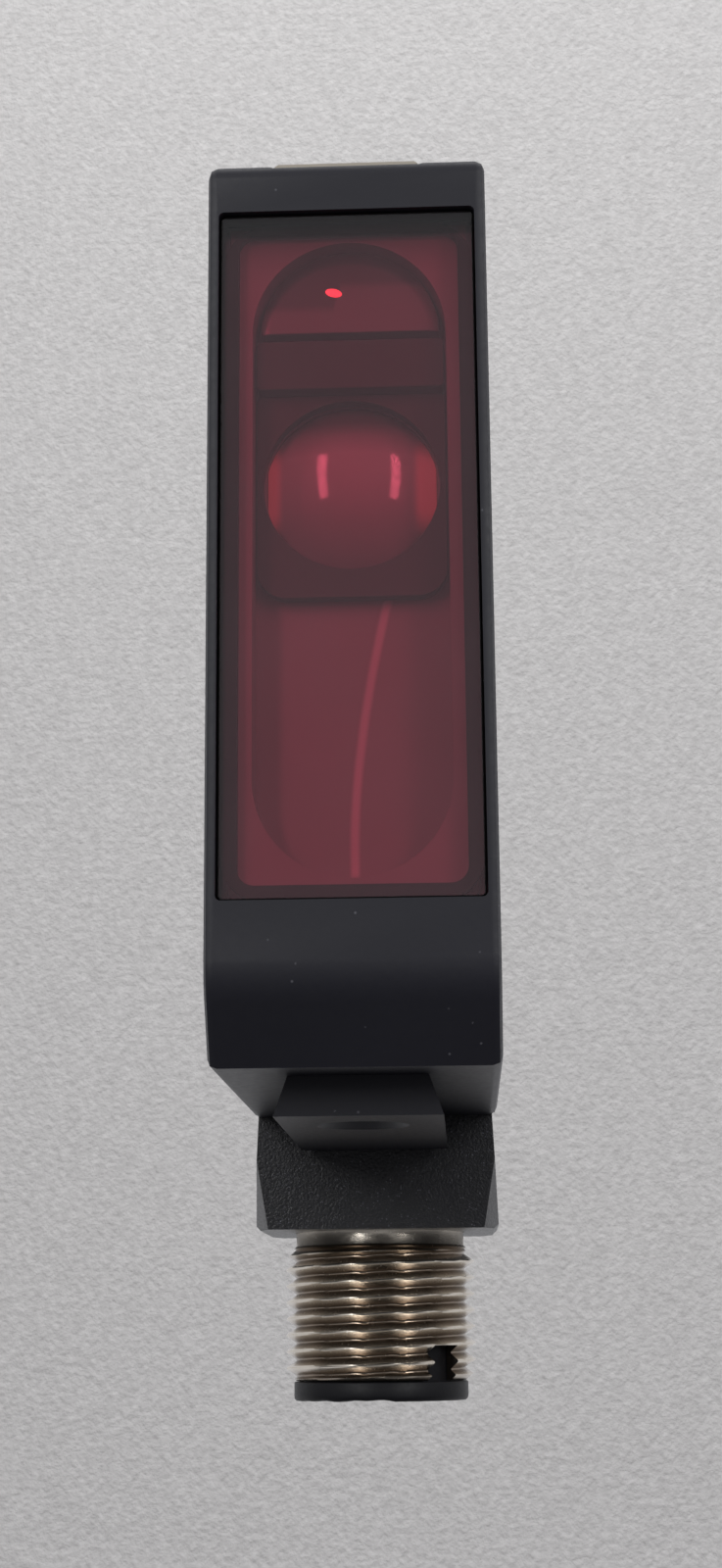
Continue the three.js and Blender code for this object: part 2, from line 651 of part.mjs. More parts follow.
function opticsCarrier() {
  const outline = evenOutline(-CARRIER_HALF, CARRIER_HALF, CARRIER_BOTTOM, CARRIER_TOP, 0.4);
  const rear = CARRIER_REAR + 1;
  const sensorBoreFront = CARRIER_REAR - SENSOR_BORE_DEPTH;
  const seat = RECEIVER_LENS_DIAMETER / 2 + FIT;
  const lensHalf = WELL_HALF - RECEIVER_LENS_FLAT_GAP + FIT;
  const lensPocket = common(
    rodY(seat, WELL_FLOOR - 1, WELL_FLOOR + LENS_SEAT, 0, RECEIVER_Z, FINE_ROUND),
    box(-lensHalf, lensHalf, 0, BODY_DEPTH, 0, BODY_HEIGHT),
  );
  return built(alongY(outline, CARRIER_FRONT, CARRIER_REAR), {
    minus: [
      alongY(wellOutline(), CARRIER_FRONT - 1, WELL_FLOOR, 10),
      alongY(archOutline(0.3), CARRIER_FRONT, WELL_FLOOR + LENS_SEAT, 10),
      rodY(SENDER_BORE / 2, WELL_FLOOR, rear, 0, SENDER_Z),
      lensPocket,
      rodY(RECEIVER_BORE / 2, WELL_FLOOR, sensorBoreFront, 0, RECEIVER_Z, ROUND, SENSOR_BORE / 2),
      rodY(SENSOR_BORE / 2, sensorBoreFront - 1, rear, 0, RECEIVER_Z),
    ],
  });
}

function lightBaffle() {
  const half = WELL_HALF - FIT * 2;
  const top = ARCH_Z - FIT * 2;
  const bottom = RECEIVER_TOP + FIT;
  return alongY(evenOutline(-half, half, bottom, top, 0.3), CARRIER_FRONT + 0.8, WELL_FLOOR - FIT);
}

function senderLens() {
  const flat = alongY(archOutline(0.35), WELL_FLOOR - LENS_CROWN, WELL_FLOOR + LENS_SEAT - FIT, 10);
  const dome = lens(WELL_HALF * 1.35, LENS_EDGE + 1, LENS_CROWN, WELL_FLOOR + LENS_SEAT - FIT, ARCH_Z);
  return common(flat, dome);
}

function receiverLens() {
  const back = WELL_FLOOR + LENS_SEAT - FIT;
  const half = WELL_HALF - RECEIVER_LENS_FLAT_GAP;
  const round = lens(RECEIVER_LENS_DIAMETER / 2, LENS_EDGE + 0.3, LENS_CROWN * 1.2, back, RECEIVER_Z);
  return common(round, box(-half, half, 0, BODY_DEPTH, 0, BODY_HEIGHT));
}

function receiverLensRetainer() {
  const half = WELL_HALF - FIT * 2;
  const bottom = RECEIVER_TOP - RECEIVER_HEIGHT;
  const top = RECEIVER_TOP - FIT;
  const outline = roundedOutline(-half, half, bottom, top, [RETAINER_RADIUS, RETAINER_RADIUS, 0.3, 0.3]);
  const front = WELL_FLOOR - FIT - RETAINER_THICKNESS;
  const opening = common(
    rodY(RECEIVER_LENS_DIAMETER / 2 + FIT, front - 1, WELL_FLOOR + 1, 0, RECEIVER_Z, FINE_ROUND),
    box(-half + 0.3, half - 0.3, 0, BODY_DEPTH, 0, BODY_HEIGHT),
  );
  return built(alongY(outline, front, WELL_FLOOR - FIT), { minus: [opening] });
}

// ---- Boards and what is on them ----

function opticsBoard() {
  const half = CAVITY_HALF - BOARD_GAP;
  const bottom = CARRIER_BOTTOM + OPTICS_BOARD_MARGIN;
  const top = CARRIER_TOP - OPTICS_BOARD_MARGIN;
  return box(-half, half, OPTICS_BOARD_FRONT, OPTICS_BOARD_REAR, bottom, top);
}

function emitterLed() {
  const face = OPTICS_BOARD_FRONT - PART_GAP;
  return built(rodY(1.7, face - 1, face, 0, SENDER_Z), {
    plus: [
      rodY(1.45, face - 2.6, face - 0.5, 0, SENDER_Z),
      new THREE.SphereGeometry(1.45, ROUND, 12).rotateX(Math.PI / 2).translate(0, face - 2.6, SENDER_Z),
    ],
  });
}

function receiverPhotodiode() {
  const face = OPTICS_BOARD_FRONT - PART_GAP;
  return box(-1.4, 1.4, face - 1.2, face, RECEIVER_Z - 1.4, RECEIVER_Z + 1.4);
}

function photodiodeShield() {
  const face = OPTICS_BOARD_FRONT - PART_GAP;
  return built(rodY(2.4, face - 2.2, face, 0, RECEIVER_Z), {
    minus: [
      rodY(2.15, face - 1.9, face + 1, 0, RECEIVER_Z),
      rodY(1.2, face - 3, face, 0, RECEIVER_Z),
    ],
  });
}

function mainBoard() {
  return box(MAIN_BOARD_X, MAIN_BOARD_FACE, MAIN_BOARD_FRONT, MAIN_BOARD_REAR,
    MAIN_BOARD_BOTTOM, BOSS_BOTTOM - BOARD_GAP);
}

function onMainBoard(y, length, height, tall, z) {
  const x = MAIN_BOARD_FACE + PART_GAP;
  return box(x, x + height, y, y + length, z, z + tall);
}

// A part in the middle of the main board's depth.
function midBoard(length, height, tall, z) {
  const y = (MAIN_BOARD_FRONT + MAIN_BOARD_REAR - length) / 2;
  return onMainBoard(y, length, height, tall, z);
}

function indicatorBoard() {
  const side = CAVITY_HALF - BOARD_GAP - 1.2;
  return box(MAIN_BOARD_FACE + PART_GAP, side, MAIN_BOARD_FRONT, MAIN_BOARD_REAR,
    INDICATOR_BOARD_Z, INDICATOR_FACE);
}

function potentiometer() {
  const z = INDICATOR_FACE + PART_GAP;
  const half = POTENTIOMETER_HALF;
  return built(box(-half, half, HATCH_MIDDLE - half, HATCH_MIDDLE + half, z, z + 1.8), {
    minus: [rodZ(ADJUSTER_KEY_RADIUS + ADJUSTER_CLEARANCE, z + 0.4, z + 3, 0, HATCH_MIDDLE)],
  });
}

function sensitivityAdjuster() {
  const keyBottom = INDICATOR_FACE + PART_GAP + 0.6;
  const shaftBottom = INDICATOR_FACE + PART_GAP + 1.95;
  const profile = [
    [0, keyBottom],
    [ADJUSTER_KEY_RADIUS, keyBottom],
    [ADJUSTER_KEY_RADIUS, shaftBottom],
    [ADJUSTER_SHAFT_RADIUS, shaftBottom],
    [ADJUSTER_SHAFT_RADIUS, HEAD_UNDERSIDE],
    [ADJUSTER_HEAD_RADIUS, HEAD_UNDERSIDE],
    [ADJUSTER_HEAD_RADIUS, ADJUSTER_TOP - 0.15],
    [ADJUSTER_HEAD_RADIUS - 0.15, ADJUSTER_TOP],
    [0, ADJUSTER_TOP],
  ];
  const half = ADJUSTER_SLOT / 2;
  const slot = box(-3, 3, HATCH_MIDDLE - half, HATCH_MIDDLE + half, ADJUSTER_TOP - 0.7, BODY_HEIGHT + 1);
  return built(turnedZ(profile, 0, HATCH_MIDDLE), { minus: [slot] });
}

function adjusterRing() {
  const middle = (ADJUSTER_SHAFT_RADIUS + ADJUSTER_HEAD_RADIUS) / 2 + ADJUSTER_CLEARANCE / 2;
  return ringZ(middle, 0.3, 0, HATCH_MIDDLE, (HEAD_UNDERSIDE + HEAD_SEAT) / 2);
}

function indicatorLed(y) {
  const z = INDICATOR_FACE + PART_GAP;
  return box(-0.8, 0.8, y - 0.5, y + 0.5, z, z + 0.7);
}

function lightGuide(y) {
  return rodZ(LIGHT_GUIDE_RADIUS, INDICATOR_FACE + 0.85, BOSS_BOTTOM - PART_GAP, 0, y);
}

// ---- Wires ----

function wireOffset(i) {
  const across = (i % 2) * 2 - 1;
  const along = Math.floor(i / 2) * 2 - 1;
  return [across * WIRE_SPACING * 0.7, along * WIRE_SPACING];
}

// Each lead runs from the main board, through the slanting passage, to just above the hinge.
function lead(i) {
  const [across, along] = wireOffset(i);
  const slant = Math.SQRT1_2;
  const at = (radius) => [
    across,
    HINGE_Y - radius * slant + along * slant,
    HINGE_Z + radius * slant + along * slant,
  ];
  const entry = NOTCH_SHELL + 1.2;
  return wire([
    [MAIN_BOARD_FACE + 0.6, MAIN_BOARD_FRONT + 1.9 + i * 0.9, MAIN_BOARD_BOTTOM + 2],
    [across - 1.6, MAIN_BOARD_FRONT + 1.9 + i * 0.9, MAIN_BOARD_BOTTOM + 1.1],
    at(entry + 0.8),
    at(entry - 1),
    at(entry - 4),
    at(2.2),
  ]);
}

function pinPlace(i) {
  const angle = Math.PI / 4 + (i * 2 * Math.PI) / PIN_COUNT;
  return [PIN_CIRCLE * Math.cos(angle), HINGE_Y + PIN_CIRCLE * Math.sin(angle)];
}

function plugLead(i) {
  const [x, y] = pinPlace(i);
  const across = Math.sign(x) * WIRE_SPACING * 0.7;
  const along = Math.sign(y - HINGE_Y) * WIRE_SPACING * 0.8;
  return wire([
    [x, y, SHANK_TOP + 1.5],
    [x * 0.85, HINGE_Y + (y - HINGE_Y) * 0.85, SHANK_TOP + 2.1],
    [across, HINGE_Y + along, WIRE_ROOM_TOP - 0.3],
    [across, HINGE_Y + along, HINGE_Z - 3],
    [across, HINGE_Y + along, HINGE_Z - 2.2],
  ]);
}

function wireGrommet() {
  const gap = 0.08;
  const half = PASSAGE_WIDTH / 2 - gap;
  const tall = PASSAGE_HEIGHT / 2 - gap;
  const plug = box(-half, half, -NOTCH_SHELL + 0.1, -NOTCH_RADIUS + 0.6, -tall, tall);
  const holes = [];
  for (let i = 0; i < PIN_COUNT; i += 1) {
    const [across, along] = wireOffset(i);
    holes.push(rodY(WIRE_RADIUS + 0.12, -NOTCH_SHELL - 2, 0, across, along, 12));
  }
  const grommet = built(plug, { minus: holes });
  return grommet.rotateX(-Math.PI / 4).translate(0, HINGE_Y, HINGE_Z);
}

// ---- Swivel connector ----

function blockOutline() {
  return polygon([
    [-KNUCKLE_WIDTH / 2 - BLOCK_FLARE, COLLAR_TOP + BLOCK_EDGE],
    [-KNUCKLE_WIDTH / 2 - BLOCK_FLARE + BLOCK_EDGE, COLLAR_TOP],
    [KNUCKLE_WIDTH / 2 + BLOCK_FLARE - BLOCK_EDGE, COLLAR_TOP],
    [KNUCKLE_WIDTH / 2 + BLOCK_FLARE, COLLAR_TOP + BLOCK_EDGE],
    [KNUCKLE_WIDTH / 2, -NOTCH_GAP],
    [-KNUCKLE_WIDTH / 2, -NOTCH_GAP],
  ]);
}

// A wedge that takes off one upright edge of the block, growing wider downwards.
function facet(sideX, sideY) {
  const edgeX = sideX * (KNUCKLE_WIDTH / 2 + BLOCK_FLARE);
  const edgeY = HINGE_Y + sideY * KNUCKLE_RADIUS;
  const top = -FACET_START;
  const low = COLLAR_TOP - 1;
  const grow = (top - low) / (top - COLLAR_TOP);
  const insetX = sideX * FACET_WIDTH * grow;
  const insetY = sideY * FACET_DEPTH * grow;
  const outX = edgeX + sideX * FACET_OVERRUN;
  const outY = edgeY + sideY * FACET_OVERRUN;
  const apex = [edgeX, edgeY, top];
  const crown = [outX, outY, top];
  const corner = [outX, outY, low];
  const left = [edgeX - insetX, edgeY, low];
  const right = [edgeX, edgeY - insetY, low];
  const faces = [
    [apex, left, right],
    [apex, crown, left],
    [crown, corner, left],
    [apex, right, crown],
    [crown, right, corner],
    [left, corner, right],
  ];
  const outward = sideX * sideY > 0 ? faces : faces.map(([a, b, c]) => [a, c, b]);
  const geometry = new THREE.BufferGeometry();
  geometry.setAttribute("position", new THREE.Float32BufferAttribute(outward.flat(2), 3));
  return geometry;
}

function swivelBlock() {
  const half = KNUCKLE_WIDTH / 2;
  const front = HINGE_Y - KNUCKLE_RADIUS;
  const column = polygon([
    [front, -2],
    [BODY_DEPTH, -2],
    [BODY_DEPTH, HINGE_Z],
    [front, HINGE_Z],
  ]);
  const slot = new THREE.Shape();
  slot.moveTo(HINGE_Y - KNUCKLE_RADIUS - 1, HINGE_Z);
  slot.lineTo(HINGE_Y - SLOT_RADIUS, HINGE_Z);
  slot.absarc(HINGE_Y, HINGE_Z, SLOT_RADIUS, Math.PI, 2 * Math.PI, false);
  slot.lineTo(BODY_DEPTH + 1, HINGE_Z);
  slot.lineTo(BODY_DEPTH + 1, HINGE_Z + KNUCKLE_RADIUS + 1);
  slot.lineTo(HINGE_Y - KNUCKLE_RADIUS - 1, HINGE_Z + KNUCKLE_RADIUS + 1);
  const facets = [
    facet(-1, -1),
    facet(1, -1),
    facet(-1, 1),
    facet(1, 1),
  ];
  return built(rodX(KNUCKLE_RADIUS, -half, half, HINGE_Y, HINGE_Z, 48), {
    plus: [
      alongX(column, -half, half),
      alongY(blockOutline(), front, BODY_DEPTH),
    ],
    minus: [
      alongX(slot, -SLOT_HALF, SLOT_HALF, 16),
      rodZ(COLLAR_RADIUS + FIT, COLLAR_TOP - 1, SHANK_TOP + FIT, 0, HINGE_Y, FINE_ROUND),
      rodZ(WIRE_ROOM_RADIUS, SHANK_TOP, WIRE_ROOM_TOP + 1, 0, HINGE_Y),
      rodX(PIVOT_RADIUS + PIVOT_PRESS, -HALF_WIDTH - 1, HALF_WIDTH + 1, HINGE_Y, HINGE_Z),
      ...facets,
    ],
  });
}

function pivotPin(side) {
  const inner = side * (LUG_WIDTH / 2 - PIVOT_REACH);
  const outer = side * (KNUCKLE_WIDTH / 2 - 0.3);
  return rodX(PIVOT_RADIUS, Math.min(inner, outer), Math.max(inner, outer), HINGE_Y, HINGE_Z);
}

function threadProfile() {
  const points = [];
  const root = THREAD_RADIUS - THREAD_DEPTH;
  for (let i = 0; i < THREAD_TURNS; i += 1) {
    const top = THREAD_TOP - i * THREAD_PITCH;
    points.push([root, top - 0.06 * THREAD_PITCH]);
    points.push([THREAD_RADIUS, top - 0.44 * THREAD_PITCH]);
    points.push([THREAD_RADIUS, top - 0.56 * THREAD_PITCH]);
    points.push([root, top - 0.94 * THREAD_PITCH]);
  }
  return points;
}

function connectorSleeve() {
  const grooveTop = SHANK_TOP - 1.6;
  const profile = [
    [SHANK_BORE, SHANK_TOP],
    [COLLAR_RADIUS, SHANK_TOP],
    [COLLAR_RADIUS, grooveTop],
    [COLLAR_RADIUS - RING_GROOVE, grooveTop],
    [COLLAR_RADIUS - RING_GROOVE, grooveTop - RING_GROOVE_HEIGHT],
    [COLLAR_RADIUS, grooveTop - RING_GROOVE_HEIGHT],
    [COLLAR_RADIUS, THREAD_TOP],
    ...threadProfile(),
    [THREAD_RADIUS - THREAD_DEPTH, THREAD_BOTTOM],
    [SLEEVE_BORE, THREAD_BOTTOM],
    [SLEEVE_BORE, COLLAR_TOP],
    [SHANK_BORE, COLLAR_TOP],
    [SHANK_BORE, SHANK_TOP],
  ];
  const slot = box(-KEYWAY_WIDTH / 2, KEYWAY_WIDTH / 2, -THREAD_RADIUS - 1, -SHANK_BORE + 0.1,
    THREAD_BOTTOM - 1, THREAD_BOTTOM + KEYWAY_HEIGHT);
  slot.rotateZ(KEYWAY_ANGLE).translate(0, HINGE_Y, 0);
  return built(turnedZ(profile.reverse(), 0, HINGE_Y, 32), { minus: [slot] });
}

function sleeveRing() {
  const z = SHANK_TOP - 1.6 - RING_GROOVE_HEIGHT / 2;
  return ringZ(COLLAR_RADIUS - RING_GROOVE / 2, RING_GROOVE / 2 - 0.04, 0, HINGE_Y, z);
}

function contactInsert() {
  const shroud = SLEEVE_BORE - FIT;
  const base = SHANK_BORE - FIT;
  const profile = [
    [0, SHANK_TOP - 0.3],
    [0, SOCKET_TOP],
    [SOCKET_RADIUS, SOCKET_TOP],
    [SOCKET_RADIUS, RIM_BOTTOM],
    [RIM_RADIUS - 0.2, RIM_BOTTOM],
    [RIM_RADIUS, RIM_BOTTOM + 0.2],
    [RIM_RADIUS, RIM_TOP],
    [shroud, RIM_TOP],
    [shroud, COLLAR_TOP - FIT],
    [base, COLLAR_TOP - FIT],
    [base, SHANK_TOP - 0.3],
    [0, SHANK_TOP - 0.3],
  ];
  const rib = box(-KEY_RIB_WIDTH / 2, KEY_RIB_WIDTH / 2, -SOCKET_RADIUS - 0.2,
    -SOCKET_RADIUS + KEY_RIB_HEIGHT, RIM_BOTTOM + 0.6, SOCKET_TOP + 0.3);
  rib.rotateZ(KEYWAY_ANGLE).translate(0, HINGE_Y, 0);
  const holes = [];
  for (let i = 0; i < PIN_COUNT; i += 1) {
    const [x, y] = pinPlace(i);
    holes.push(rodZ(PIN_RADIUS + 0.03, SOCKET_TOP - 1, SHANK_TOP, x, y, 12));
  }
  return built(turnedZ(profile, 0, HINGE_Y, 32), { plus: [rib], minus: holes });
}

function contactPin(i) {
  const [x, y] = pinPlace(i);
  const tip = RIM_BOTTOM + PIN_SET_BACK;
  const tail = SHANK_TOP + 1.4;
  return turnedZ([
    [0, tip],
    [PIN_RADIUS * 0.5, tip + 0.08],
    [PIN_RADIUS, tip + 0.5],
    [PIN_RADIUS, SHANK_TOP - 0.2],
    [PIN_RADIUS + 0.15, SHANK_TOP - 0.2],
    [PIN_RADIUS + 0.15, tail],
    [0, tail],
  ], x, y, 12);
}

// ---- Assembly ----

place("housing", housing(), CAST_BLACK);
place("front_window", frontWindow(), RED_ACRYLIC);
place("window_frame", windowFrame(), GASKET_BLACK);
place("indicator_cover", indicatorCover(), SMOKED_STRIP);
place("cover_gasket", coverGasket(), RUBBER_BLACK);
place("side_label", sideLabel(), PLATE_SILVER);

place("optics_carrier", opticsCarrier(), MOULDED_BLACK);
place("light_baffle", lightBaffle(), MOULDED_BLACK);
place("sender_lens", senderLens(), CLEAR_ACRYLIC);
place("receiver_lens", receiverLens(), CLEAR_ACRYLIC);
place("receiver_lens_retainer", receiverLensRetainer(), MOULDED_BLACK);

place("optics_board", opticsBoard(), BOARD_GREEN);
place("emitter_led", emitterLed(), CLEAR_ACRYLIC);
place("receiver_photodiode", receiverPhotodiode(), CHIP_BLACK);
place("photodiode_shield", photodiodeShield(), TINNED);
place("main_board", mainBoard(), BOARD_GREEN);
place("processor_chip", midBoard(5, 1, 5, MAIN_BOARD_BOTTOM + 12), CHIP_BLACK);
place("output_driver_chip", midBoard(3.6, 1.4, 5, MAIN_BOARD_BOTTOM + 5), CHIP_BLACK);
place("board_connector", onMainBoard(MAIN_BOARD_FRONT + 0.1, 1.2, 2.5, 9, MAIN_BOARD_BOTTOM + 2.5),
  NYLON_WHITE);
for (let i = 0; i < 3; i += 1) {
  place(`capacitor_${i + 1}`, midBoard(2.4, 1.2, 1.4, INDICATOR_BOARD_Z - 2.4 * (i + 1)), TINNED);
}
place("indicator_board", indicatorBoard(), BOARD_GREEN);
place("potentiometer", potentiometer(), NYLON_WHITE);
place("sensitivity_adjuster", sensitivityAdjuster(), NYLON_WHITE);
place("adjuster_o_ring", adjusterRing(), RUBBER_BLACK);
place("power_led", indicatorLed(HATCH_FRONT + LIGHT_FROM_HATCH_END), CLEAR_ACRYLIC);
place("output_led", indicatorLed(HATCH_REAR - LIGHT_FROM_HATCH_END), CLEAR_ACRYLIC);
place("power_light_guide", lightGuide(HATCH_FRONT + LIGHT_FROM_HATCH_END), CLEAR_ACRYLIC);
place("output_light_guide", lightGuide(HATCH_REAR - LIGHT_FROM_HATCH_END), CLEAR_ACRYLIC);

place("wire_grommet", wireGrommet(), RUBBER_BLACK);
place("swivel_block", swivelBlock(), MOULDED_BLACK);
place("pivot_pin_left", pivotPin(-1), STEEL);
place("pivot_pin_right", pivotPin(1), STEEL);
place("connector_sleeve", connectorSleeve(), NICKEL);
place("sleeve_o_ring", sleeveRing(), RUBBER_BLACK);
place("contact_insert", contactInsert(), MOULDED_BLACK);

const WIRE_COLOURS = [0x7a4a2a, 0xe6e4de, 0x2c4f9a, 0x1c1c1e];
for (let i = 0; i < PIN_COUNT; i += 1) {
  const jacket = finish(WIRE_COLOURS[i], 0.5);
  place(`contact_pin_${i + 1}`, contactPin(i), GOLD_PLATE);
  place(`lead_${i + 1}`, lead(i), jacket);
  place(`plug_lead_${i + 1}`, plugLead(i), jacket);
}

sensor.position.set(0, -RAIL_MIDDLE, RAIL_HEIGHT);
const part = new THREE.Group();
part.add(sensor);

export default part;
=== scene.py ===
# %% [markdown]
# # A block photoelectric sensor with a swivel plug
# The real object is a black die-cast case, 15 mm wide, with a deep red window over a sender and a
# receiver. A dovetail rail runs under it, and an M12 plug sits on a block that swings by 90 degrees.
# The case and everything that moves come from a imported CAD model, so this lesson adds what CAD does
# not carry: rounded edges, a true screw thread, finishes, light and a camera. First the frame.

# %% Load the frame
import json
import math

import bmesh
import bpy
from mathutils import Matrix, Quaternion, Vector


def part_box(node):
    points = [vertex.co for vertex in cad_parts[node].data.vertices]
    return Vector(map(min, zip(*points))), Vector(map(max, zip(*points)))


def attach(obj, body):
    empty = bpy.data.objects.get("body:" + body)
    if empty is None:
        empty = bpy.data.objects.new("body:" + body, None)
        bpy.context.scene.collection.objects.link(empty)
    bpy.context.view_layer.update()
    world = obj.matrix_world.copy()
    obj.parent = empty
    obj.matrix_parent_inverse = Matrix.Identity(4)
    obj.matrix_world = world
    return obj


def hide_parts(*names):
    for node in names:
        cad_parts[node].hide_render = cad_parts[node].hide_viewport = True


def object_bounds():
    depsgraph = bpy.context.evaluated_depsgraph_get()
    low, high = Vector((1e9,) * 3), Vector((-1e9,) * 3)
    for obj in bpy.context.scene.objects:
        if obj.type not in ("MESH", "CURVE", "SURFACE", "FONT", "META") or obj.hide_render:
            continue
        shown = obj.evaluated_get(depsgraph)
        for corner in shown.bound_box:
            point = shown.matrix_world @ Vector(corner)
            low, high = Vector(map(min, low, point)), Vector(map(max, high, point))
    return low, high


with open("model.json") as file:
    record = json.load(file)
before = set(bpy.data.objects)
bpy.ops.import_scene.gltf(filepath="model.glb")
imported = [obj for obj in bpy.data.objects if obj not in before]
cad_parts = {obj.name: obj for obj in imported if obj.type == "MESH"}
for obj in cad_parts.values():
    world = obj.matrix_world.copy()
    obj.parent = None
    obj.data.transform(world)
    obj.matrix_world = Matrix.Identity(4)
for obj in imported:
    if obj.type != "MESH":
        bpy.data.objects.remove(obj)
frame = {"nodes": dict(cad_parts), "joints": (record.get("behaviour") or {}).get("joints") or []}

MM = 0.001
cad_low, cad_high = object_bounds()
hinge = Vector(next(j["pos_m"] for j in frame["joints"] if j["name"] == "connector_swivel"))
print("nodes:", len(frame["nodes"]), "size in mm:", [round(s / MM, 2) for s in cad_high - cad_low])

# %% [markdown]
# ## Two small tools for node trees
# A finish is a tree of nodes, and typing each node by hand hides the idea in clicks. One function
# adds any node, with its settings first (they decide which sockets exist) and its inputs after. An
# input is a plain value or the output of an earlier node. Colours are written as the hex values that
# a paint chart gives, and one function turns them into the linear light that the renderer adds up.

# %% Node and colour helpers
def add(tree, kind, inputs=None, **settings):
    made = tree.nodes.new(kind)
    for name, value in settings.items():
        setattr(made, name, value)
    for socket, value in (inputs or {}).items():
        if isinstance(value, bpy.types.NodeSocket):
            tree.links.new(value, made.inputs[socket])
        else:
            made.inputs[socket].default_value = value
    return made


def linear(hex_code):
    shares = [int(hex_code[i : i + 2], 16) / 255 for i in (0, 2, 4)]
    return [s / 12.92 if s <= 0.04045 else ((s + 0.055) / 1.055) ** 2.4 for s in shares] + [1.0]


print("mid grey in linear light:", round(linear("808080")[0], 3))

# %% [markdown]
# ## A finish that is never one flat colour
# Nearly every surface here is a moulding, a casting or a coating. Each has two close tones that
# drift over a few millimetres, and a fine grain that roughens the shine and the surface together.
# The grain could be an image, but noise on Object coordinates has no seams, works in real
# millimetres and stays put when the plug swings. Relief is the height of the grain.

# %% The common finish
def surface(name, light, dark, roughness, grain, relief, patch=4.0, uneven=0.08, **shader):
    material = bpy.data.materials.new(name)
    material.use_nodes = True
    tree = material.node_tree
    tree.nodes.clear()
    where = add(tree, "ShaderNodeTexCoord").outputs["Object"]
    drift = add(tree, "ShaderNodeTexNoise", {"Vector": where, "Scale": 1 / (patch * MM), "Detail": 3.0})
    grains = add(tree, "ShaderNodeTexNoise", {"Vector": where, "Scale": 1 / (grain * MM), "Detail": 2.0})
    tone = add(tree, "ShaderNodeMix", {0: drift.outputs["Fac"], 6: linear(dark), 7: linear(light)},
               data_type="RGBA", label="tone")
    shine = add(tree, "ShaderNodeMapRange", {"Value": grains.outputs["Fac"],
                "To Min": roughness - uneven, "To Max": roughness + uneven}, label="shine")
    bump = add(tree, "ShaderNodeBump", {"Height": grains.outputs["Fac"], "Strength": 1.0,
               "Distance": relief * MM}, label="grain")
    body = add(tree, "ShaderNodeBsdfPrincipled", {"Base Color": tone.outputs[2],
               "Roughness": shine.outputs["Result"], "Normal": bump.outputs["Normal"]}, label="body")
    for socket, value in shader.items():
        body.inputs[socket.replace("_", " ")].default_value = value
    add(tree, "ShaderNodeOutputMaterial", {"Surface": body.outputs["BSDF"]})
    return material


def part_of(material, label):
    return next(n for n in material.node_tree.nodes if n.label == label)


# %% [markdown]
# ## Coated metal and moulded plastics
# Powder coat on zinc melts into a low orange peel about 0.3 mm across, so the case looks even and
# half matt. The swivel block is glass-filled nylon: the fibres lie just under the skin, and their
# glints are painted into its colour as pale specks. The optics carrier is a dull moulding, and the plug
# insert is smooth nylon. All have the IOR of plastics and paint, near 1.5, so their edges still shine.

# %% Black finishes
powder_coat = surface("powder_coated_zinc", "1c1c24", "17171e", 0.5, 0.32, 0.006, patch=9.0,
                      Specular_IOR_Level=0.3)
filled_nylon = surface("glass_filled_nylon", "15151a", "0f0f13", 0.38, 0.14, 0.035, patch=1.5, uneven=0.16,
                       Specular_IOR_Level=0.45)
carrier_plastic = surface("carrier_polycarbonate", "6f6969", "656060", 0.6, 0.4, 0.005, patch=6.0,
                          Specular_IOR_Level=0.3)
baffle_plastic = surface("baffle_polycarbonate", "282525", "211f1f", 0.6, 0.4, 0.005,
                         Specular_IOR_Level=0.3)
insert_nylon = surface("insert_polyamide", "151518", "101013", 0.45, 0.2, 0.01, patch=2.0,
                       Specular_IOR_Level=0.15)
gasket_foam = surface("gasket_foam", "121011", "0c0b0b", 0.9, 0.15, 0.01, Specular_IOR_Level=0.2)
nitrile = surface("nitrile_rubber", "1a1a1a", "141414", 0.7, 0.25, 0.008)
chip_epoxy = surface("chip_epoxy", "1d1d1f", "151517", 0.5, 0.1, 0.006)
print("black finishes:", [m.name for m in (powder_coat, filled_nylon, insert_nylon, gasket_foam)])

# %% Pale specks: painted glints of glass in the block's skin, dust on the case
def speckle(material, size, share, colour):
    """Pale specks on a finish: each cell of a fine pattern is a speck if its own number is high."""
    tree = material.node_tree
    where = add(tree, "ShaderNodeTexCoord").outputs["Object"]
    cells = add(tree, "ShaderNodeTexVoronoi", {"Vector": where, "Scale": 1 / (size * MM)})
    chosen = add(tree, "ShaderNodeSeparateColor", {"Color": cells.outputs["Color"]})
    rare = add(tree, "ShaderNodeMath", {0: chosen.outputs[0], 1: 1 - share}, operation="GREATER_THAN")
    near = add(tree, "ShaderNodeMapRange", {"Value": cells.outputs["Distance"],
               "From Min": 0.15, "From Max": 0.45, "To Min": 1.0, "To Max": 0.0})
    speck = add(tree, "ShaderNodeMath", {0: rare.outputs[0], 1: near.outputs["Result"]},
                operation="MULTIPLY")
    tone = part_of(material, "tone")
    mixed = add(tree, "ShaderNodeMix", {0: speck.outputs[0], 6: tone.outputs[2], 7: linear(colour)},
                data_type="RGBA")
    tree.links.new(mixed.outputs[2], part_of(material, "body").inputs["Base Color"])


# The block's pale specks are painted glints of its glass fibres; the rare specks on the case are dust.
speckle(filled_nylon, 0.13, 0.1, "4c4c54")
speckle(powder_coat, 0.2, 0.004, "505056")
print("specks added to", filled_nylon.name, "and", powder_coat.name)

# %% [markdown]
# ## Metals, boards and the rest
# The plug sleeve is turned brass with a nickel plate. Old nickel turns warm grey-brown, stays bright
# on the crests of the thread and holds dirt in the roots, so its tone follows the distance from the
# plug's axis. Metals keep the default IOR: their colour already says how they reflect.

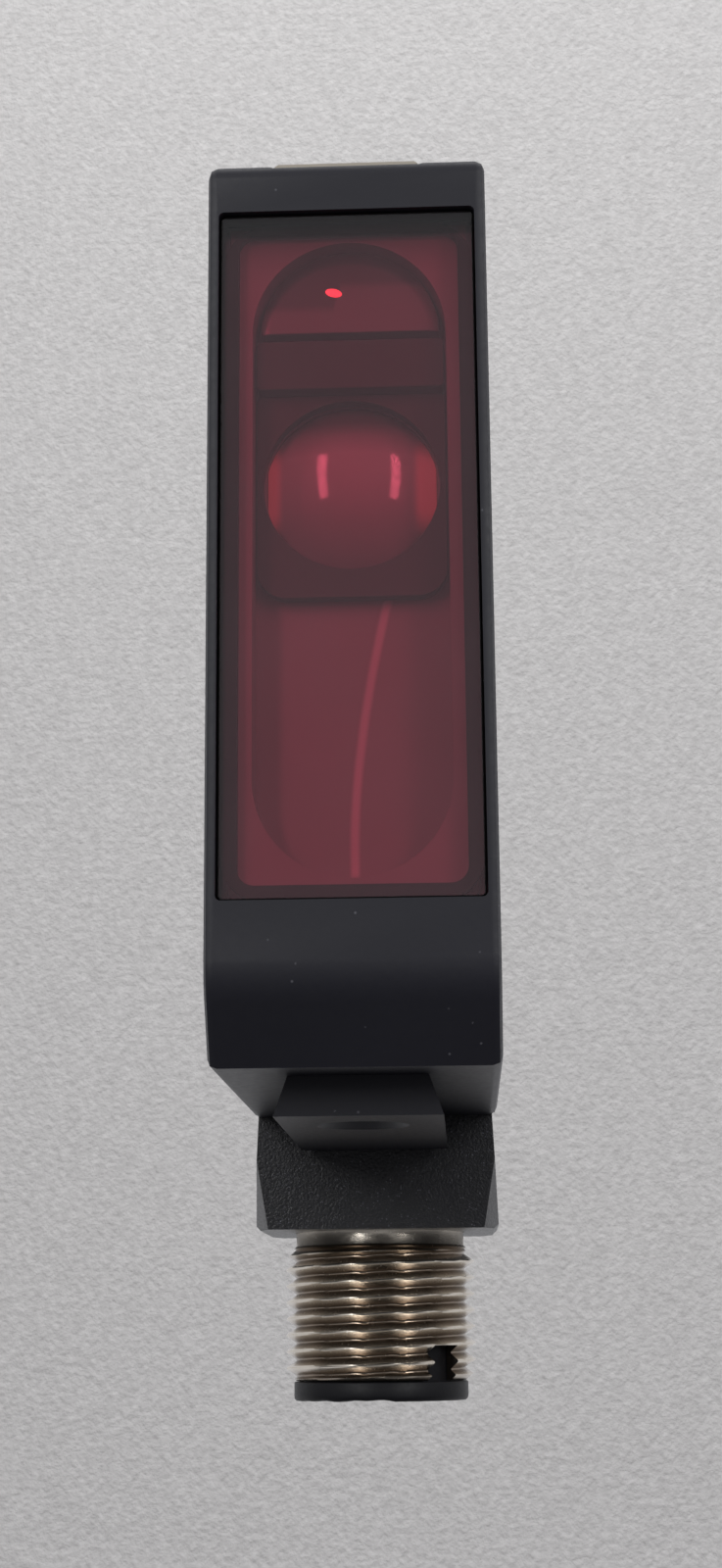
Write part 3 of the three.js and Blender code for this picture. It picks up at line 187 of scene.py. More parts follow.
# %% Metal finishes
nickel = surface("nickel_plated_brass", "ded7cc", "c2b9ac", 0.24, 0.25, 0.003, patch=1.2, uneven=0.08,
                 Metallic=1.0)
gold = surface("gold_plated_pin", "e0b760", "c79a45", 0.25, 0.2, 0.002, Metallic=1.0)
steel = surface("ground_steel", "a6a8aa", "8f9194", 0.32, 0.15, 0.003, Metallic=1.0)
tin = surface("tin_plate", "c2c2be", "a9a9a4", 0.4, 0.2, 0.003, Metallic=1.0)
foil = surface("brushed_aluminium_foil", "b4b4b3", "9b9b9a", 0.38, 0.12, 0.002, Metallic=1.0)


def brushed(material, across, along):
    """Turns a metal's grain into long brush lines: fine across X and Z, stretched along Y."""
    tree = material.node_tree
    bump = part_of(material, "grain")
    noise = bump.inputs["Height"].links[0].from_node
    where = noise.inputs["Vector"].links[0].from_socket
    lines = add(tree, "ShaderNodeMapping", {"Vector": where, "Scale": (1.0, across / along, 1.0)})
    tree.links.new(lines.outputs["Vector"], noise.inputs["Vector"])


def tarnish(material, axis, root, crest, top, colour):
    """Darkens a turned metal towards the roots of its thread, below the height top."""
    tree = material.node_tree
    where = add(tree, "ShaderNodeTexCoord").outputs["Object"]
    moved = add(tree, "ShaderNodeVectorMath", {0: where, 1: (-axis.x, -axis.y, 0.0)}, operation="ADD")
    flat = add(tree, "ShaderNodeVectorMath", {0: moved.outputs[0], 1: (1.0, 1.0, 0.0)},
               operation="MULTIPLY")
    reach = add(tree, "ShaderNodeVectorMath", {0: flat.outputs[0]}, operation="LENGTH")
    worn = add(tree, "ShaderNodeMapRange", {"Value": reach.outputs["Value"],
               "From Min": root, "From Max": crest, "To Min": 0.8, "To Max": 0.0})
    tall = add(tree, "ShaderNodeSeparateXYZ", {0: where}).outputs[2]
    on_thread = add(tree, "ShaderNodeMath", {0: tall, 1: top}, operation="LESS_THAN")
    worn = add(tree, "ShaderNodeMath", {0: worn.outputs["Result"], 1: on_thread.outputs[0]},
               operation="MULTIPLY")
    tone = part_of(material, "tone")
    mixed = add(tree, "ShaderNodeMix", {0: worn.outputs[0], 6: tone.outputs[2], 7: linear(colour)},
                data_type="RGBA")
    tree.links.new(mixed.outputs[2], part_of(material, "body").inputs["Base Color"])


brushed(foil, 0.12, 6.0)
brushed(steel, 0.15, 3.0)
sleeve_low, sleeve_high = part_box("connector_sleeve")
thread_radius = (sleeve_high.x - sleeve_low.x) / 2
tarnish(nickel, hinge, thread_radius - 0.5 * MM, thread_radius - 0.06 * MM,
        sleeve_low.z + 8.2 * MM, "665647")
print("thread radius in mm:", round(thread_radius / MM, 3))

# %% Boards, wires and small mouldings
solder_mask = surface("green_solder_mask", "236340", "1b5334", 0.4, 0.5, 0.004, patch=3.0)
white_nylon = surface("natural_nylon", "dedbd0", "cfcbbf", 0.45, 0.3, 0.005)
# The indicator strip is smoked polycarbonate; its pale beige tone is a painted reflection of the light from
# above.
strip_plastic_and_sheen = surface("smoked_polycarbonate_and_painted_sheen", "8e877b", "7d766b", 0.35, 0.5, 0.003, patch=8.0)
brown_pvc = surface("brown_wire_pvc", "7d4d2c", "6f4326", 0.5, 0.3, 0.004)
white_pvc = surface("white_wire_pvc", "e6e4de", "d6d3cb", 0.5, 0.3, 0.004)
blue_pvc = surface("blue_wire_pvc", "30559f", "284a8c", 0.5, 0.3, 0.004)
black_pvc = surface("black_wire_pvc", "1e1e20", "171719", 0.5, 0.3, 0.004)
lamp_epoxy = surface("clear_lamp_epoxy", "d9cfc6", "c8bdb3", 0.2, 0.5, 0.002)
print("materials so far:", len(bpy.data.materials))

# %% [markdown]
# ## The red filter window
# The window is a plate of red acrylic. Light goes in through it and out again, so what lies behind
# is seen through the dye twice. Real refraction would trap the lamps' light and leave the inside
# black and noisy. A Transparent shader with the dye's colour lets lamps through, and a Fresnel share
# of gloss puts the room's soft reflection on top, which is what makes it look like a polished plate.
# Seen from inside the plate the index is turned over, or the back face would act as a full mirror.

# %% Window material
ACRYLIC_INDEX = 1.49
DYE_DEEP, DYE_PALE = (0.95, 0.53, 0.62, 1.0), (0.96, 0.57, 0.65, 1.0)
red_acrylic = bpy.data.materials.new("red_filter_acrylic")
red_acrylic.use_nodes = True
pane = red_acrylic.node_tree
pane.nodes.clear()
pane_where = add(pane, "ShaderNodeTexCoord").outputs["Object"]
smudge = add(pane, "ShaderNodeTexNoise", {"Vector": pane_where, "Scale": 1 / (6 * MM), "Detail": 5.0})
polish = add(pane, "ShaderNodeMapRange", {"Value": smudge.outputs["Fac"], "To Min": 0.04, "To Max": 0.16})
dye_depth = add(pane, "ShaderNodeMix", {0: smudge.outputs["Fac"], 6: DYE_DEEP, 7: DYE_PALE},
                data_type="RGBA")
through = add(pane, "ShaderNodeBsdfTransparent", {"Color": dye_depth.outputs[2]})
gloss = add(pane, "ShaderNodeBsdfGlossy", {"Roughness": polish.outputs["Result"]})
from_inside = add(pane, "ShaderNodeNewGeometry").outputs["Backfacing"]
index = add(pane, "ShaderNodeMapRange", {"Value": from_inside, "To Min": ACRYLIC_INDEX,
            "To Max": 1 / ACRYLIC_INDEX})
share = add(pane, "ShaderNodeFresnel", {"IOR": index.outputs["Result"]})
both = add(pane, "ShaderNodeMixShader", {0: share.outputs[0], 1: through.outputs[0], 2: gloss.outputs[0]})
dust_cover = add(pane, "ShaderNodeMapRange", {"Value": smudge.outputs["Fac"], "To Min": 0.014,
                 "To Max": 0.03})
dust = add(pane, "ShaderNodeBsdfDiffuse", {"Color": (0.5, 0.5, 0.54, 1.0)})
dusty = add(pane, "ShaderNodeMixShader", {0: dust_cover.outputs["Result"], 1: both.outputs[0],
            2: dust.outputs[0]})
add(pane, "ShaderNodeOutputMaterial", {"Surface": dusty.outputs[0]})
print("shares of red, green and blue that pass the dye:", DYE_DEEP[:3])

# %% [markdown]
# ## Soft marks drawn by position
# Behind the window some light and shade is painted: painted glow as bright upright bands on the
# sides of the receiver's lens, painted shade at that lens's foot and top, painted shade and light on the
# sender's lens, and a thin painted highlight streak on the well's floor. They are drawn in the materials by
# distance along X or Z, with soft ends.

# %% A soft band along one axis
def band(tree, value, centre, half, soft):
    """1 where value is within half of centre, falling to 0 over soft."""
    off = add(tree, "ShaderNodeMath", {0: value, 1: centre}, operation="SUBTRACT")
    far = add(tree, "ShaderNodeMath", {0: off.outputs[0]}, operation="ABSOLUTE")
    return add(tree, "ShaderNodeMapRange", {"Value": far.outputs[0], "From Min": half,
               "From Max": half + soft, "To Min": 1.0, "To Max": 0.0},
               interpolation_type="SMOOTHSTEP").outputs["Result"]


def lighten(material, amount, colour):
    """Mixes colour into a finish by the output amount."""
    tree = material.node_tree
    base = part_of(material, "body").inputs["Base Color"]
    mixed = add(tree, "ShaderNodeMix", {0: amount, 6: base.links[0].from_socket, 7: linear(colour)},
                data_type="RGBA")
    tree.links.new(mixed.outputs[2], base)


# %% Receiver lens: clear moulding with painted glow at its sides
lens_low, lens_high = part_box("receiver_lens")
lens_middle = (lens_low + lens_high) / 2
lens_acrylic = surface("clear_lens_acrylic", "8a8383", "807979", 0.1, 0.6, 0.002, patch=3.0, uneven=0.03)
tree = lens_acrylic.node_tree
axes = add(tree, "ShaderNodeSeparateXYZ", {0: add(tree, "ShaderNodeTexCoord").outputs["Object"]}).outputs
# Painted glow: red emission in upright bands at the lens's sides stands in for light reflected there.
left_painted_glow = band(tree, axes[0], -4.4 * MM, 0.15 * MM, 0.6 * MM)
right_painted_glow = band(tree, axes[0], 4.2 * MM, 0.4 * MM, 0.6 * MM)
sides = add(tree, "ShaderNodeMath", {0: left_painted_glow, 1: right_painted_glow}, operation="ADD")
upright = band(tree, axes[2], lens_middle.z, 1.2 * MM, 1.8 * MM)
painted_glow = add(tree, "ShaderNodeMath", {0: sides.outputs[0], 1: upright}, operation="MULTIPLY")
strength = add(tree, "ShaderNodeMath", {0: painted_glow.outputs[0], 1: 0.16}, operation="MULTIPLY")
lens_body = part_of(lens_acrylic, "body")
lens_body.inputs["Emission Color"].default_value = (1.0, 0.12, 0.16, 1.0)
tree.links.new(strength.outputs[0], lens_body.inputs["Emission Strength"])
# Painted shade: the lens is darker towards its foot, and darker at its top where the wall above shades it.
low_shade = add(tree, "ShaderNodeMapRange", {"Value": axes[2], "From Min": lens_low.z,
                "From Max": lens_middle.z + 0.5 * MM, "To Min": 0.9, "To Max": 0.0})
lighten(lens_acrylic, low_shade.outputs["Result"], "6d6868")
wall_shade = add(tree, "ShaderNodeMapRange", {"Value": axes[2], "From Min": lens_middle.z + 1.6 * MM,
                 "From Max": lens_middle.z + 3.7 * MM, "To Min": 0.0, "To Max": 0.9})
lighten(lens_acrylic, wall_shade.outputs["Result"], "2e2b2b")
print("receiver lens in mm:", [round(s / MM, 2) for s in lens_high - lens_low])

# %% Sender lens: painted shade above, painted light below
sender_low, sender_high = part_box("sender_lens")
sender_acrylic = surface("sender_lens_acrylic", "3e3b3b", "373434", 0.3, 0.6, 0.002, uneven=0.04)
tree = sender_acrylic.node_tree
axes = add(tree, "ShaderNodeSeparateXYZ", {0: add(tree, "ShaderNodeTexCoord").outputs["Object"]}).outputs
# Painted shade and light: the lens is left dark above as painted shade, and is painted lighter below a soft
# edge, as if lit there.
shade_foot = add(tree, "ShaderNodeMapRange", {"Value": axes[0],
                 "From Min": -0.9 * MM, "From Max": -0.5 * MM,
                 "To Min": sender_low.z + 1.4 * MM, "To Max": sender_low.z + 2.8 * MM})
below = add(tree, "ShaderNodeMath", {0: shade_foot.outputs["Result"], 1: axes[2]}, operation="SUBTRACT")
lit_edge = add(tree, "ShaderNodeMapRange", {"Value": below.outputs[0],
               "From Min": -0.4 * MM, "From Max": 0.4 * MM}, interpolation_type="SMOOTHSTEP")
lighten(sender_acrylic, lit_edge.outputs["Result"], "5a5555")
print("sender lens height in mm:", round((sender_high.z - sender_low.z) / MM, 2))

# %% Carrier: a painted highlight streak on the well's floor
carrier_low, carrier_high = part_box("optics_carrier")
tree = carrier_plastic.node_tree
axes = add(tree, "ShaderNodeSeparateXYZ", {0: add(tree, "ShaderNodeTexCoord").outputs["Object"]}).outputs
# Painted highlight: a thin pale streak curves down the well's floor, drawn by position.
line_top = carrier_low.z + 16.75 * MM
line_foot = carrier_low.z + 1.8 * MM
climb = add(tree, "ShaderNodeMapRange", {"Value": axes[2], "From Min": line_foot + 1.6 * MM,
            "From Max": line_top, "To Min": 0.0, "To Max": 1.0})
curve = add(tree, "ShaderNodeMath", {0: climb.outputs["Result"], 1: 1.7}, operation="POWER")
sway = add(tree, "ShaderNodeMath", {0: curve.outputs[0], 1: 1.9 * MM}, operation="MULTIPLY")
beside = add(tree, "ShaderNodeMath", {0: axes[0], 1: sway.outputs[0]}, operation="SUBTRACT")
across = band(tree, beside.outputs[0], 0.0, 0.08 * MM, 0.28 * MM)
along = band(tree, axes[2], (line_top + line_foot) / 2, (line_top - line_foot) / 2, 0.6 * MM)
painted_streak = add(tree, "ShaderNodeMath", {0: across, 1: along}, operation="MULTIPLY")
faint = add(tree, "ShaderNodeMath", {0: painted_streak.outputs[0], 1: 0.6}, operation="MULTIPLY")
lighten(carrier_plastic, faint.outputs[0], "aea4a4")
print("flow line length in mm:", round((line_top - line_foot) / MM, 2))

# %% Gasket: the pale ledge shows beyond its round corners
gasket_low, gasket_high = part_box("window_frame")
CORNER = 2.2 * MM
straight = (gasket_high - gasket_low) / 2 - Vector((CORNER, 0.0, CORNER))
tree = gasket_foam.node_tree
off = add(tree, "ShaderNodeVectorMath", {0: add(tree, "ShaderNodeTexCoord").outputs["Object"],
          1: (gasket_low + gasket_high) / 2}, operation="SUBTRACT")
off = add(tree, "ShaderNodeVectorMath", {0: off.outputs[0]}, operation="ABSOLUTE")
past = add(tree, "ShaderNodeVectorMath", {0: off.outputs[0], 1: straight}, operation="SUBTRACT")
past = add(tree, "ShaderNodeVectorMath", {0: past.outputs[0], 1: (0.0, 0.0, 0.0)}, operation="MAXIMUM")
flat = add(tree, "ShaderNodeVectorMath", {0: past.outputs[0], 1: (1.0, 0.0, 1.0)}, operation="MULTIPLY")
from_centre = add(tree, "ShaderNodeVectorMath", {0: flat.outputs[0]}, operation="LENGTH")
ledge = add(tree, "ShaderNodeMapRange", {"Value": from_centre.outputs["Value"], "From Min": CORNER,
            "From Max": 1.1 * CORNER})
lighten(gasket_foam, ledge.outputs["Result"], "8a7f7f")
print("gasket in mm:", [round(s / MM, 2) for s in gasket_high - gasket_low])

# %% [markdown]
# ## Rounding the CAD edges
# CAD gives exact but knife-sharp edges. A real casting or moulding has a radius on every edge, and
# that radius is what draws the thin bright outline of a black object. A bevel by hand on each edge
# would take hours. Here a copy of the node's mesh is merged, its flat faces are joined again, and a
# Bevel modifier rounds every edge sharper than a set angle. Weighted normals keep the flats flat.

# %% The rounding helper
def settled(piece):
    """Applies a piece's modifiers and leaves a plain mesh."""
    bpy.context.view_layer.update()
    depsgraph = bpy.context.evaluated_depsgraph_get()
    mesh = bpy.data.meshes.new_from_object(piece.evaluated_get(depsgraph), depsgraph=depsgraph)
    piece.modifiers.clear()
    piece.data = mesh
    return piece


def new_piece(name, mesh, material):
    piece = bpy.data.objects.new(name, mesh)
    bpy.context.scene.collection.objects.link(piece)
    mesh.materials.clear()
    mesh.materials.append(material)
    return piece


def stand_in(piece, body, slot, *nodes):
    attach(piece, body)
    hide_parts(*nodes)
    return piece


def rounded(name, node, material, edge, angle=35.0, segments=3):
    work = bmesh.new()
    work.from_mesh(frame["nodes"][node].data)
    bmesh.ops.remove_doubles(work, verts=work.verts, dist=1e-7)
    bmesh.ops.dissolve_limit(work, angle_limit=math.radians(0.5), verts=work.verts, edges=work.edges)
    mesh = bpy.data.meshes.new(name)
    work.to_mesh(mesh)
    work.free()
    piece = new_piece(name, mesh, material)
    bevel = piece.modifiers.new("edge radius", "BEVEL")
    bevel.width = edge * MM
    bevel.segments = segments
    bevel.limit_method = "ANGLE"
    bevel.angle_limit = math.radians(angle)
    bevel.use_clamp_overlap = True
    piece.data.shade_smooth()
    flats = piece.modifiers.new("flats stay flat", "WEIGHTED_NORMAL")
    flats.mode = "FACE_AREA_WITH_ANGLE"
    flats.weight = 90
    settled(piece)
    return piece


# %% [markdown]
# ## The case and its flat parts
# The case is one zinc casting: window recess in front, dovetail rail below, a channel for the
# indicator strip on top. The strip, window, gasket frame, carrier, baffle and retainer are separate
# mouldings. Each is the CAD shape with its own edge radius: large on the casting, small on the rest.

# %% Case parts
ROUNDED_PARTS = [
    ("case_casting", "housing", powder_coat, 0.12, "case", "cast_black"),
    ("red_window_plate", "front_window", red_acrylic, 0.1, "case", "red_acrylic"),
    ("window_gasket", "window_frame", gasket_foam, 0.08, "case", "gasket_black"),
    ("indicator_strip", "indicator_cover", strip_plastic_and_sheen, 0.06, "case", "smoked_strip"),
    ("blank_side_plate", "side_label", foil, 0.02, "case", "plate_silver"),
    ("optics_block", "optics_carrier", carrier_plastic, 0.12, "case", "carrier_grey"),
    ("sender_receiver_wall", "light_baffle", baffle_plastic, 0.1, "case", "moulded_black"),
    ("receiver_lens_frame", "receiver_lens_retainer", baffle_plastic, 0.1, "case", "moulded_black"),
    ("receiver_lens_moulding", "receiver_lens", lens_acrylic, 0.08, "case", "clear_acrylic"),
    ("sender_lens_moulding", "sender_lens", sender_acrylic, 0.08, "case", "clear_acrylic"),
    ("swivel_block_moulding", "swivel_block", filled_nylon, 0.1, "connector", "moulded_black"),
    ("adjuster_screw", "sensitivity_adjuster", white_nylon, 0.06, "adjuster", "nylon_white"),
]
for name, node, material, edge, body, slot_name in ROUNDED_PARTS:
    piece = stand_in(rounded(name, node, material, edge), body, slot_name, node)
    print(name, "faces:", len(piece.data.polygons))

# %% The window's sawn edges
# A filter window's sides are sawn and blackened, so that no stray light runs through the plate.
edge_black = surface("blackened_sawn_edge", "141213", "0f0e0f", 0.9, 0.2, 0.01, Specular_IOR_Level=0.1)
window = bpy.data.objects["red_window_plate"]
window.data.materials.append(edge_black)
for face in window.data.polygons:
    face.material_index = 0 if abs(face.normal.y) > 0.99 else 1
print("blackened faces:", sum(face.material_index for face in window.data.polygons))

# %% [markdown]
# ## The screw thread
# The plug sleeve is a brass tube turned on a lathe, then threaded M12 by 1: each turn climbs 1 mm,
# and a right-hand thread rises to the right. CAD stands in for it with plain rings. A thread could be
# a ridge swept along a helix, but ridge and tube would then be two shells in each other. Here the
# plain tube gets many fine rows, and Geometry Nodes move each point inward by how far it is from the
# crest: a triangle wave of height and angle. The key slot is cut last, through the finished thread.

# %% A plain turned tube with fine rows
def turned(name, profile, axis, sides):
    """A closed ring from a closed profile of (radius, height) points in mm, round a vertical axis."""
    work = bmesh.new()
    rings = []
    for i in range(sides):
        angle = 2 * math.pi * i / sides
        rings.append([work.verts.new((axis.x + r * MM * math.cos(angle),
                                      axis.y + r * MM * math.sin(angle), z * MM)) for r, z in profile])
    for i, ring in enumerate(rings):
        after = rings[(i + 1) % sides]
        for j in range(len(profile)):
            k = (j + 1) % len(profile)
            work.faces.new((ring[j], after[j], after[k], ring[k]))
    bmesh.ops.recalc_face_normals(work, faces=work.faces)
    mesh = bpy.data.meshes.new(name)
    work.to_mesh(mesh)
    work.free()
    return mesh


PITCH = 1.0
TURNS = 8
ROWS_PER_TURN = 14
CREST = thread_radius / MM
THREAD_DEPTH = 0.62
CREST_FLAT, ROOT_FLAT = 0.08, 0.1  # shares of half a pitch
COLLAR = 5.3
SLEEVE_BORE, INSERT_SEAT = 4.25, 4.95
sleeve_top = sleeve_high.z / MM
thread_foot = sleeve_low.z / MM
thread_head = thread_foot + TURNS * PITCH
seat_top = thread_head + 1.05
rows = [thread_head - i * PITCH / ROWS_PER_TURN for i in range(TURNS * ROWS_PER_TURN + 1)]
sleeve_profile = [(SLEEVE_BORE, sleeve_top), (COLLAR - 0.1, sleeve_top), (COLLAR, sleeve_top - 0.1),
                  (COLLAR, sleeve_top - 2.7), (COLLAR, thread_head + 1.0), (COLLAR, thread_head + 0.25),
                  (COLLAR + 0.15, thread_head + 0.08)]
sleeve_profile += [(CREST, z) for z in rows]
sleeve_profile += [(INSERT_SEAT, thread_foot), (INSERT_SEAT, seat_top), (SLEEVE_BORE, seat_top)]
blank = turned("threaded_sleeve", sleeve_profile, hinge, 144)
print("rows on the blank:", len(sleeve_profile), "thread length in mm:", TURNS * PITCH)

# %% The thread-cutting tree
threading = bpy.data.node_groups.new("cut_m12_thread", "GeometryNodeTree")
sockets = {}
for label, kind in (("Blank", "NodeSocketGeometry"), ("Pitch", "NodeSocketFloat"),
                    ("Depth", "NodeSocketFloat"), ("Crest Radius", "NodeSocketFloat"),
                    ("Thread Head", "NodeSocketFloat"), ("Thread Foot", "NodeSocketFloat"),
                    ("Axis", "NodeSocketVector"), ("Slot Size", "NodeSocketVector"),
                    ("Slot Place", "NodeSocketVector"), ("Slot Turn", "NodeSocketVector"),
                    ("Finish", "NodeSocketMaterial")):
    sockets[label] = threading.interface.new_socket(label, in_out="INPUT", socket_type=kind)
threading.interface.new_socket("Sleeve", in_out="OUTPUT", socket_type="NodeSocketGeometry")
given = add(threading, "NodeGroupInput").outputs
position = add(threading, "GeometryNodeInputPosition").outputs[0]
place = add(threading, "ShaderNodeVectorMath", {0: position, 1: given["Axis"]}, operation="SUBTRACT")
xyz = add(threading, "ShaderNodeSeparateXYZ", {0: place.outputs[0]}).outputs
angle = add(threading, "ShaderNodeMath", {0: xyz[1], 1: xyz[0]}, operation="ARCTAN2")
turn = add(threading, "ShaderNodeMath", {0: angle.outputs[0], 1: 2 * math.pi}, operation="DIVIDE")
climb = add(threading, "ShaderNodeMath", {0: xyz[2], 1: given["Pitch"]}, operation="DIVIDE")
phase = add(threading, "ShaderNodeMath", {0: climb.outputs[0], 1: turn.outputs[0]}, operation="SUBTRACT")
phase = add(threading, "ShaderNodeMath", {0: phase.outputs[0]}, operation="FRACT")
wave = add(threading, "ShaderNodeMath", {0: phase.outputs[0], 1: 0.5}, operation="SUBTRACT")
wave = add(threading, "ShaderNodeMath", {0: wave.outputs[0], 1: 2.0}, operation="MULTIPLY")
from_crest = add(threading, "ShaderNodeMath", {0: wave.outputs[0]}, operation="ABSOLUTE")
tooth = add(threading, "ShaderNodeMapRange", {"Value": from_crest.outputs[0], "From Min": CREST_FLAT,
            "From Max": 1.0 - ROOT_FLAT})
# The thread fades in and out over half a turn at its ends, where the die ran off the bar.
half = add(threading, "ShaderNodeMath", {0: given["Pitch"], 1: 0.5}, operation="MULTIPLY").outputs[0]
under_head = add(threading, "ShaderNodeMath", {0: given["Thread Head"], 1: half}, operation="SUBTRACT")
over_foot = add(threading, "ShaderNodeMath", {0: given["Thread Foot"], 1: half}, operation="ADD")
start = add(threading, "ShaderNodeMapRange", {"Value": xyz[2], "From Min": given["Thread Head"],
            "From Max": under_head.outputs[0], "To Min": 1.0, "To Max": 0.0})
end = add(threading, "ShaderNodeMapRange", {"Value": xyz[2], "From Min": over_foot.outputs[0],
          "From Max": given["Thread Foot"], "To Min": 0.0, "To Max": 1.0})
cut = add(threading, "ShaderNodeMath", {0: tooth.outputs[0], 1: start.outputs[0]}, operation="MAXIMUM")
cut = add(threading, "ShaderNodeMath", {0: cut.outputs[0], 1: end.outputs[0]}, operation="MAXIMUM")
flat = add(threading, "ShaderNodeCombineXYZ", {0: xyz[0], 1: xyz[1]}).outputs[0]
outward = add(threading, "ShaderNodeVectorMath", {0: flat}, operation="NORMALIZE")
reach = add(threading, "ShaderNodeVectorMath", {0: flat}, operation="LENGTH")
skin = add(threading, "ShaderNodeMath", {0: given["Crest Radius"], 1: 0.02 * MM}, operation="SUBTRACT")
on_crest = add(threading, "ShaderNodeMath", {0: reach.outputs["Value"], 1: skin.outputs[0]},
               operation="GREATER_THAN")
inward = add(threading, "ShaderNodeMath", {0: cut.outputs[0], 1: given["Depth"]}, operation="MULTIPLY")
inward = add(threading, "ShaderNodeMath", {0: inward.outputs[0], 1: -1.0}, operation="MULTIPLY")
moved = add(threading, "ShaderNodeVectorMath", {0: outward.outputs[0], "Scale": inward.outputs[0]},
            operation="SCALE")
threaded = add(threading, "GeometryNodeSetPosition", {"Geometry": given["Blank"],
               "Selection": on_crest.outputs[0], "Offset": moved.outputs[0]}).outputs[0]
cutter = add(threading, "GeometryNodeMeshCube", {"Size": given["Slot Size"]}).outputs["Mesh"]
cutter = add(threading, "GeometryNodeTransform", {"Geometry": cutter, "Translation": given["Slot Place"],
             "Rotation": given["Slot Turn"]}).outputs[0]
slotted = add(threading, "GeometryNodeMeshBoolean", {"Mesh 1": threaded, "Mesh 2": cutter},
              operation="DIFFERENCE").outputs["Mesh"]
realised = add(threading, "GeometryNodeRealizeInstances", {"Geometry": slotted}).outputs[0]
finished = add(threading, "GeometryNodeSetMaterial", {"Geometry": realised, "Material": given["Finish"]})
add(threading, "NodeGroupOutput", {"Sleeve": finished.outputs[0]})
print("nodes in the thread tree:", len(threading.nodes))

# %% Cut the thread and the key slot
KEY_ANGLE = math.radians(45)
slot_reach = 5.4 * MM
front_right = Matrix.Rotation(KEY_ANGLE, 3, "Z") @ Vector((0, -1, 0))
sleeve = new_piece("threaded_sleeve", blank, nickel)
cutting = sleeve.modifiers.new("thread", "NODES")
cutting.node_group = threading
values = {"Pitch": PITCH * MM, "Depth": THREAD_DEPTH * MM, "Crest Radius": thread_radius,
          "Thread Head": thread_head * MM, "Thread Foot": thread_foot * MM,
          "Axis": (hinge.x, hinge.y, 0.0), "Slot Size": (2 * MM, 3 * MM, 4.2 * MM),
          "Slot Place": (hinge.x + front_right.x * slot_reach, hinge.y + front_right.y * slot_reach,
                         thread_foot * MM), "Slot Turn": (0.0, 0.0, KEY_ANGLE), "Finish": nickel}
for label, value in values.items():
    cutting[sockets[label].identifier] = value
settled(sleeve)
sleeve.data.shade_smooth()
sleeve.data.set_sharp_from_angle(angle=math.radians(50))
stand_in(sleeve, "connector", "nickel_brass", "connector_sleeve")
print("threaded sleeve faces:", len(sleeve.data.polygons))

# %% [markdown]
# ## The plug's face
# Inside the sleeve sits a nylon insert: a socket with a key rib, and four gold pins on a circle. Its
# rim sticks out below the sleeve and gets knocked in use, so its lower edge is a little uneven. The
# pins repeat round a circle, which is a job for instances: one pin is turned, and Geometry Nodes put
# it on the points of a circle.

# %% Insert with a knocked rim
insert_low, insert_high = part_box("contact_insert")
rim_foot, insert_top = insert_low.z / MM, insert_high.z / MM
STEM, BODY, RIM, SOCKET = 4.2, 4.9, 5.45, 4.35  # radii
stem_foot = thread_head + 1.0
rim_top = thread_foot - 0.05
socket_floor = rim_foot + 8.4
insert_profile = [(0.02, insert_top), (STEM, insert_top), (STEM, stem_foot), (BODY, stem_foot),
                  (BODY, rim_top), (RIM - 0.07, rim_top), (RIM, rim_top - 0.07), (RIM, rim_foot + 0.3),
                  (RIM - 0.02, rim_foot + 0.1), (RIM - 0.12, rim_foot), (SOCKET + 0.1, rim_foot),
                  (SOCKET, rim_foot + 0.1), (SOCKET, rim_foot + 4.2), (SOCKET, socket_floor),
                  (0.02, socket_floor)]
insert_mesh = turned("plug_insert", insert_profile, hinge, 96)
for vertex in insert_mesh.vertices:
    if vertex.co.z < (rim_foot + 0.15) * MM:
        angle = math.atan2(vertex.co.y - hinge.y, vertex.co.x - hinge.x)
        knock = math.sin(3 * angle + 1.0) + 0.7 * math.sin(7 * angle) + 0.5 * math.sin(17 * angle + 2.0)
        vertex.co.z += 0.07 * MM * max(0.0, knock)
insert = new_piece("plug_insert", insert_mesh, insert_nylon)
rib_mesh = bpy.data.meshes.new("key_rib")
work = bmesh.new()
bmesh.ops.create_cube(work, size=1.0)
rib_size = Matrix.Diagonal((0.9 * MM, 0.9 * MM, 7.6 * MM, 1.0))
rib_spot = Vector((hinge.x, hinge.y, (rim_foot + 4.4) * MM)) + front_right * 4.15 * MM
work.transform(Matrix.Translation(rib_spot) @ Matrix.Rotation(KEY_ANGLE, 4, "Z") @ rib_size)
work.to_mesh(rib_mesh)
work.free()
rib = new_piece("key_rib", rib_mesh, insert_nylon)
join = insert.modifiers.new("key rib", "BOOLEAN")
join.operation = "UNION"
join.object = rib
settled(insert)
bpy.data.objects.remove(rib)
insert.data.shade_smooth()
insert.data.set_sharp_from_angle(angle=math.radians(50))
stand_in(insert, "connector", "insert_black", "contact_insert")
print("insert faces:", len(insert.data.polygons))

# %% Four pins on a circle
pin_low, pin_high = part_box("contact_pin_1")
pin_length = (pin_high.z - pin_low.z) / MM
pin_middle = (pin_low + pin_high) / 2
pin_circle = (Vector((pin_middle.x, pin_middle.y)) - Vector((hinge.x, hinge.y))).length
pin_profile = [(0.001, 0.0), (0.2, 0.02), (0.36, 0.12), (0.46, 0.3), (0.5, 0.55), (0.5, pin_length - 1.6),
               (0.65, pin_length - 1.5), (0.65, pin_length), (0.001, pin_length)]
one_pin = new_piece("one_pin", turned("one_pin", pin_profile, Vector(), 24), gold)
one_pin.data.shade_smooth()
circle = bpy.data.node_groups.new("pins_on_a_circle", "GeometryNodeTree")
pin_sockets = {}
for label, kind in (("Pin", "NodeSocketObject"), ("Count", "NodeSocketInt"),
                    ("Circle Radius", "NodeSocketFloat"), ("Turn", "NodeSocketFloat"),
                    ("Centre", "NodeSocketVector"), ("Finish", "NodeSocketMaterial")):
    pin_sockets[label] = circle.interface.new_socket(label, in_out="INPUT", socket_type=kind)
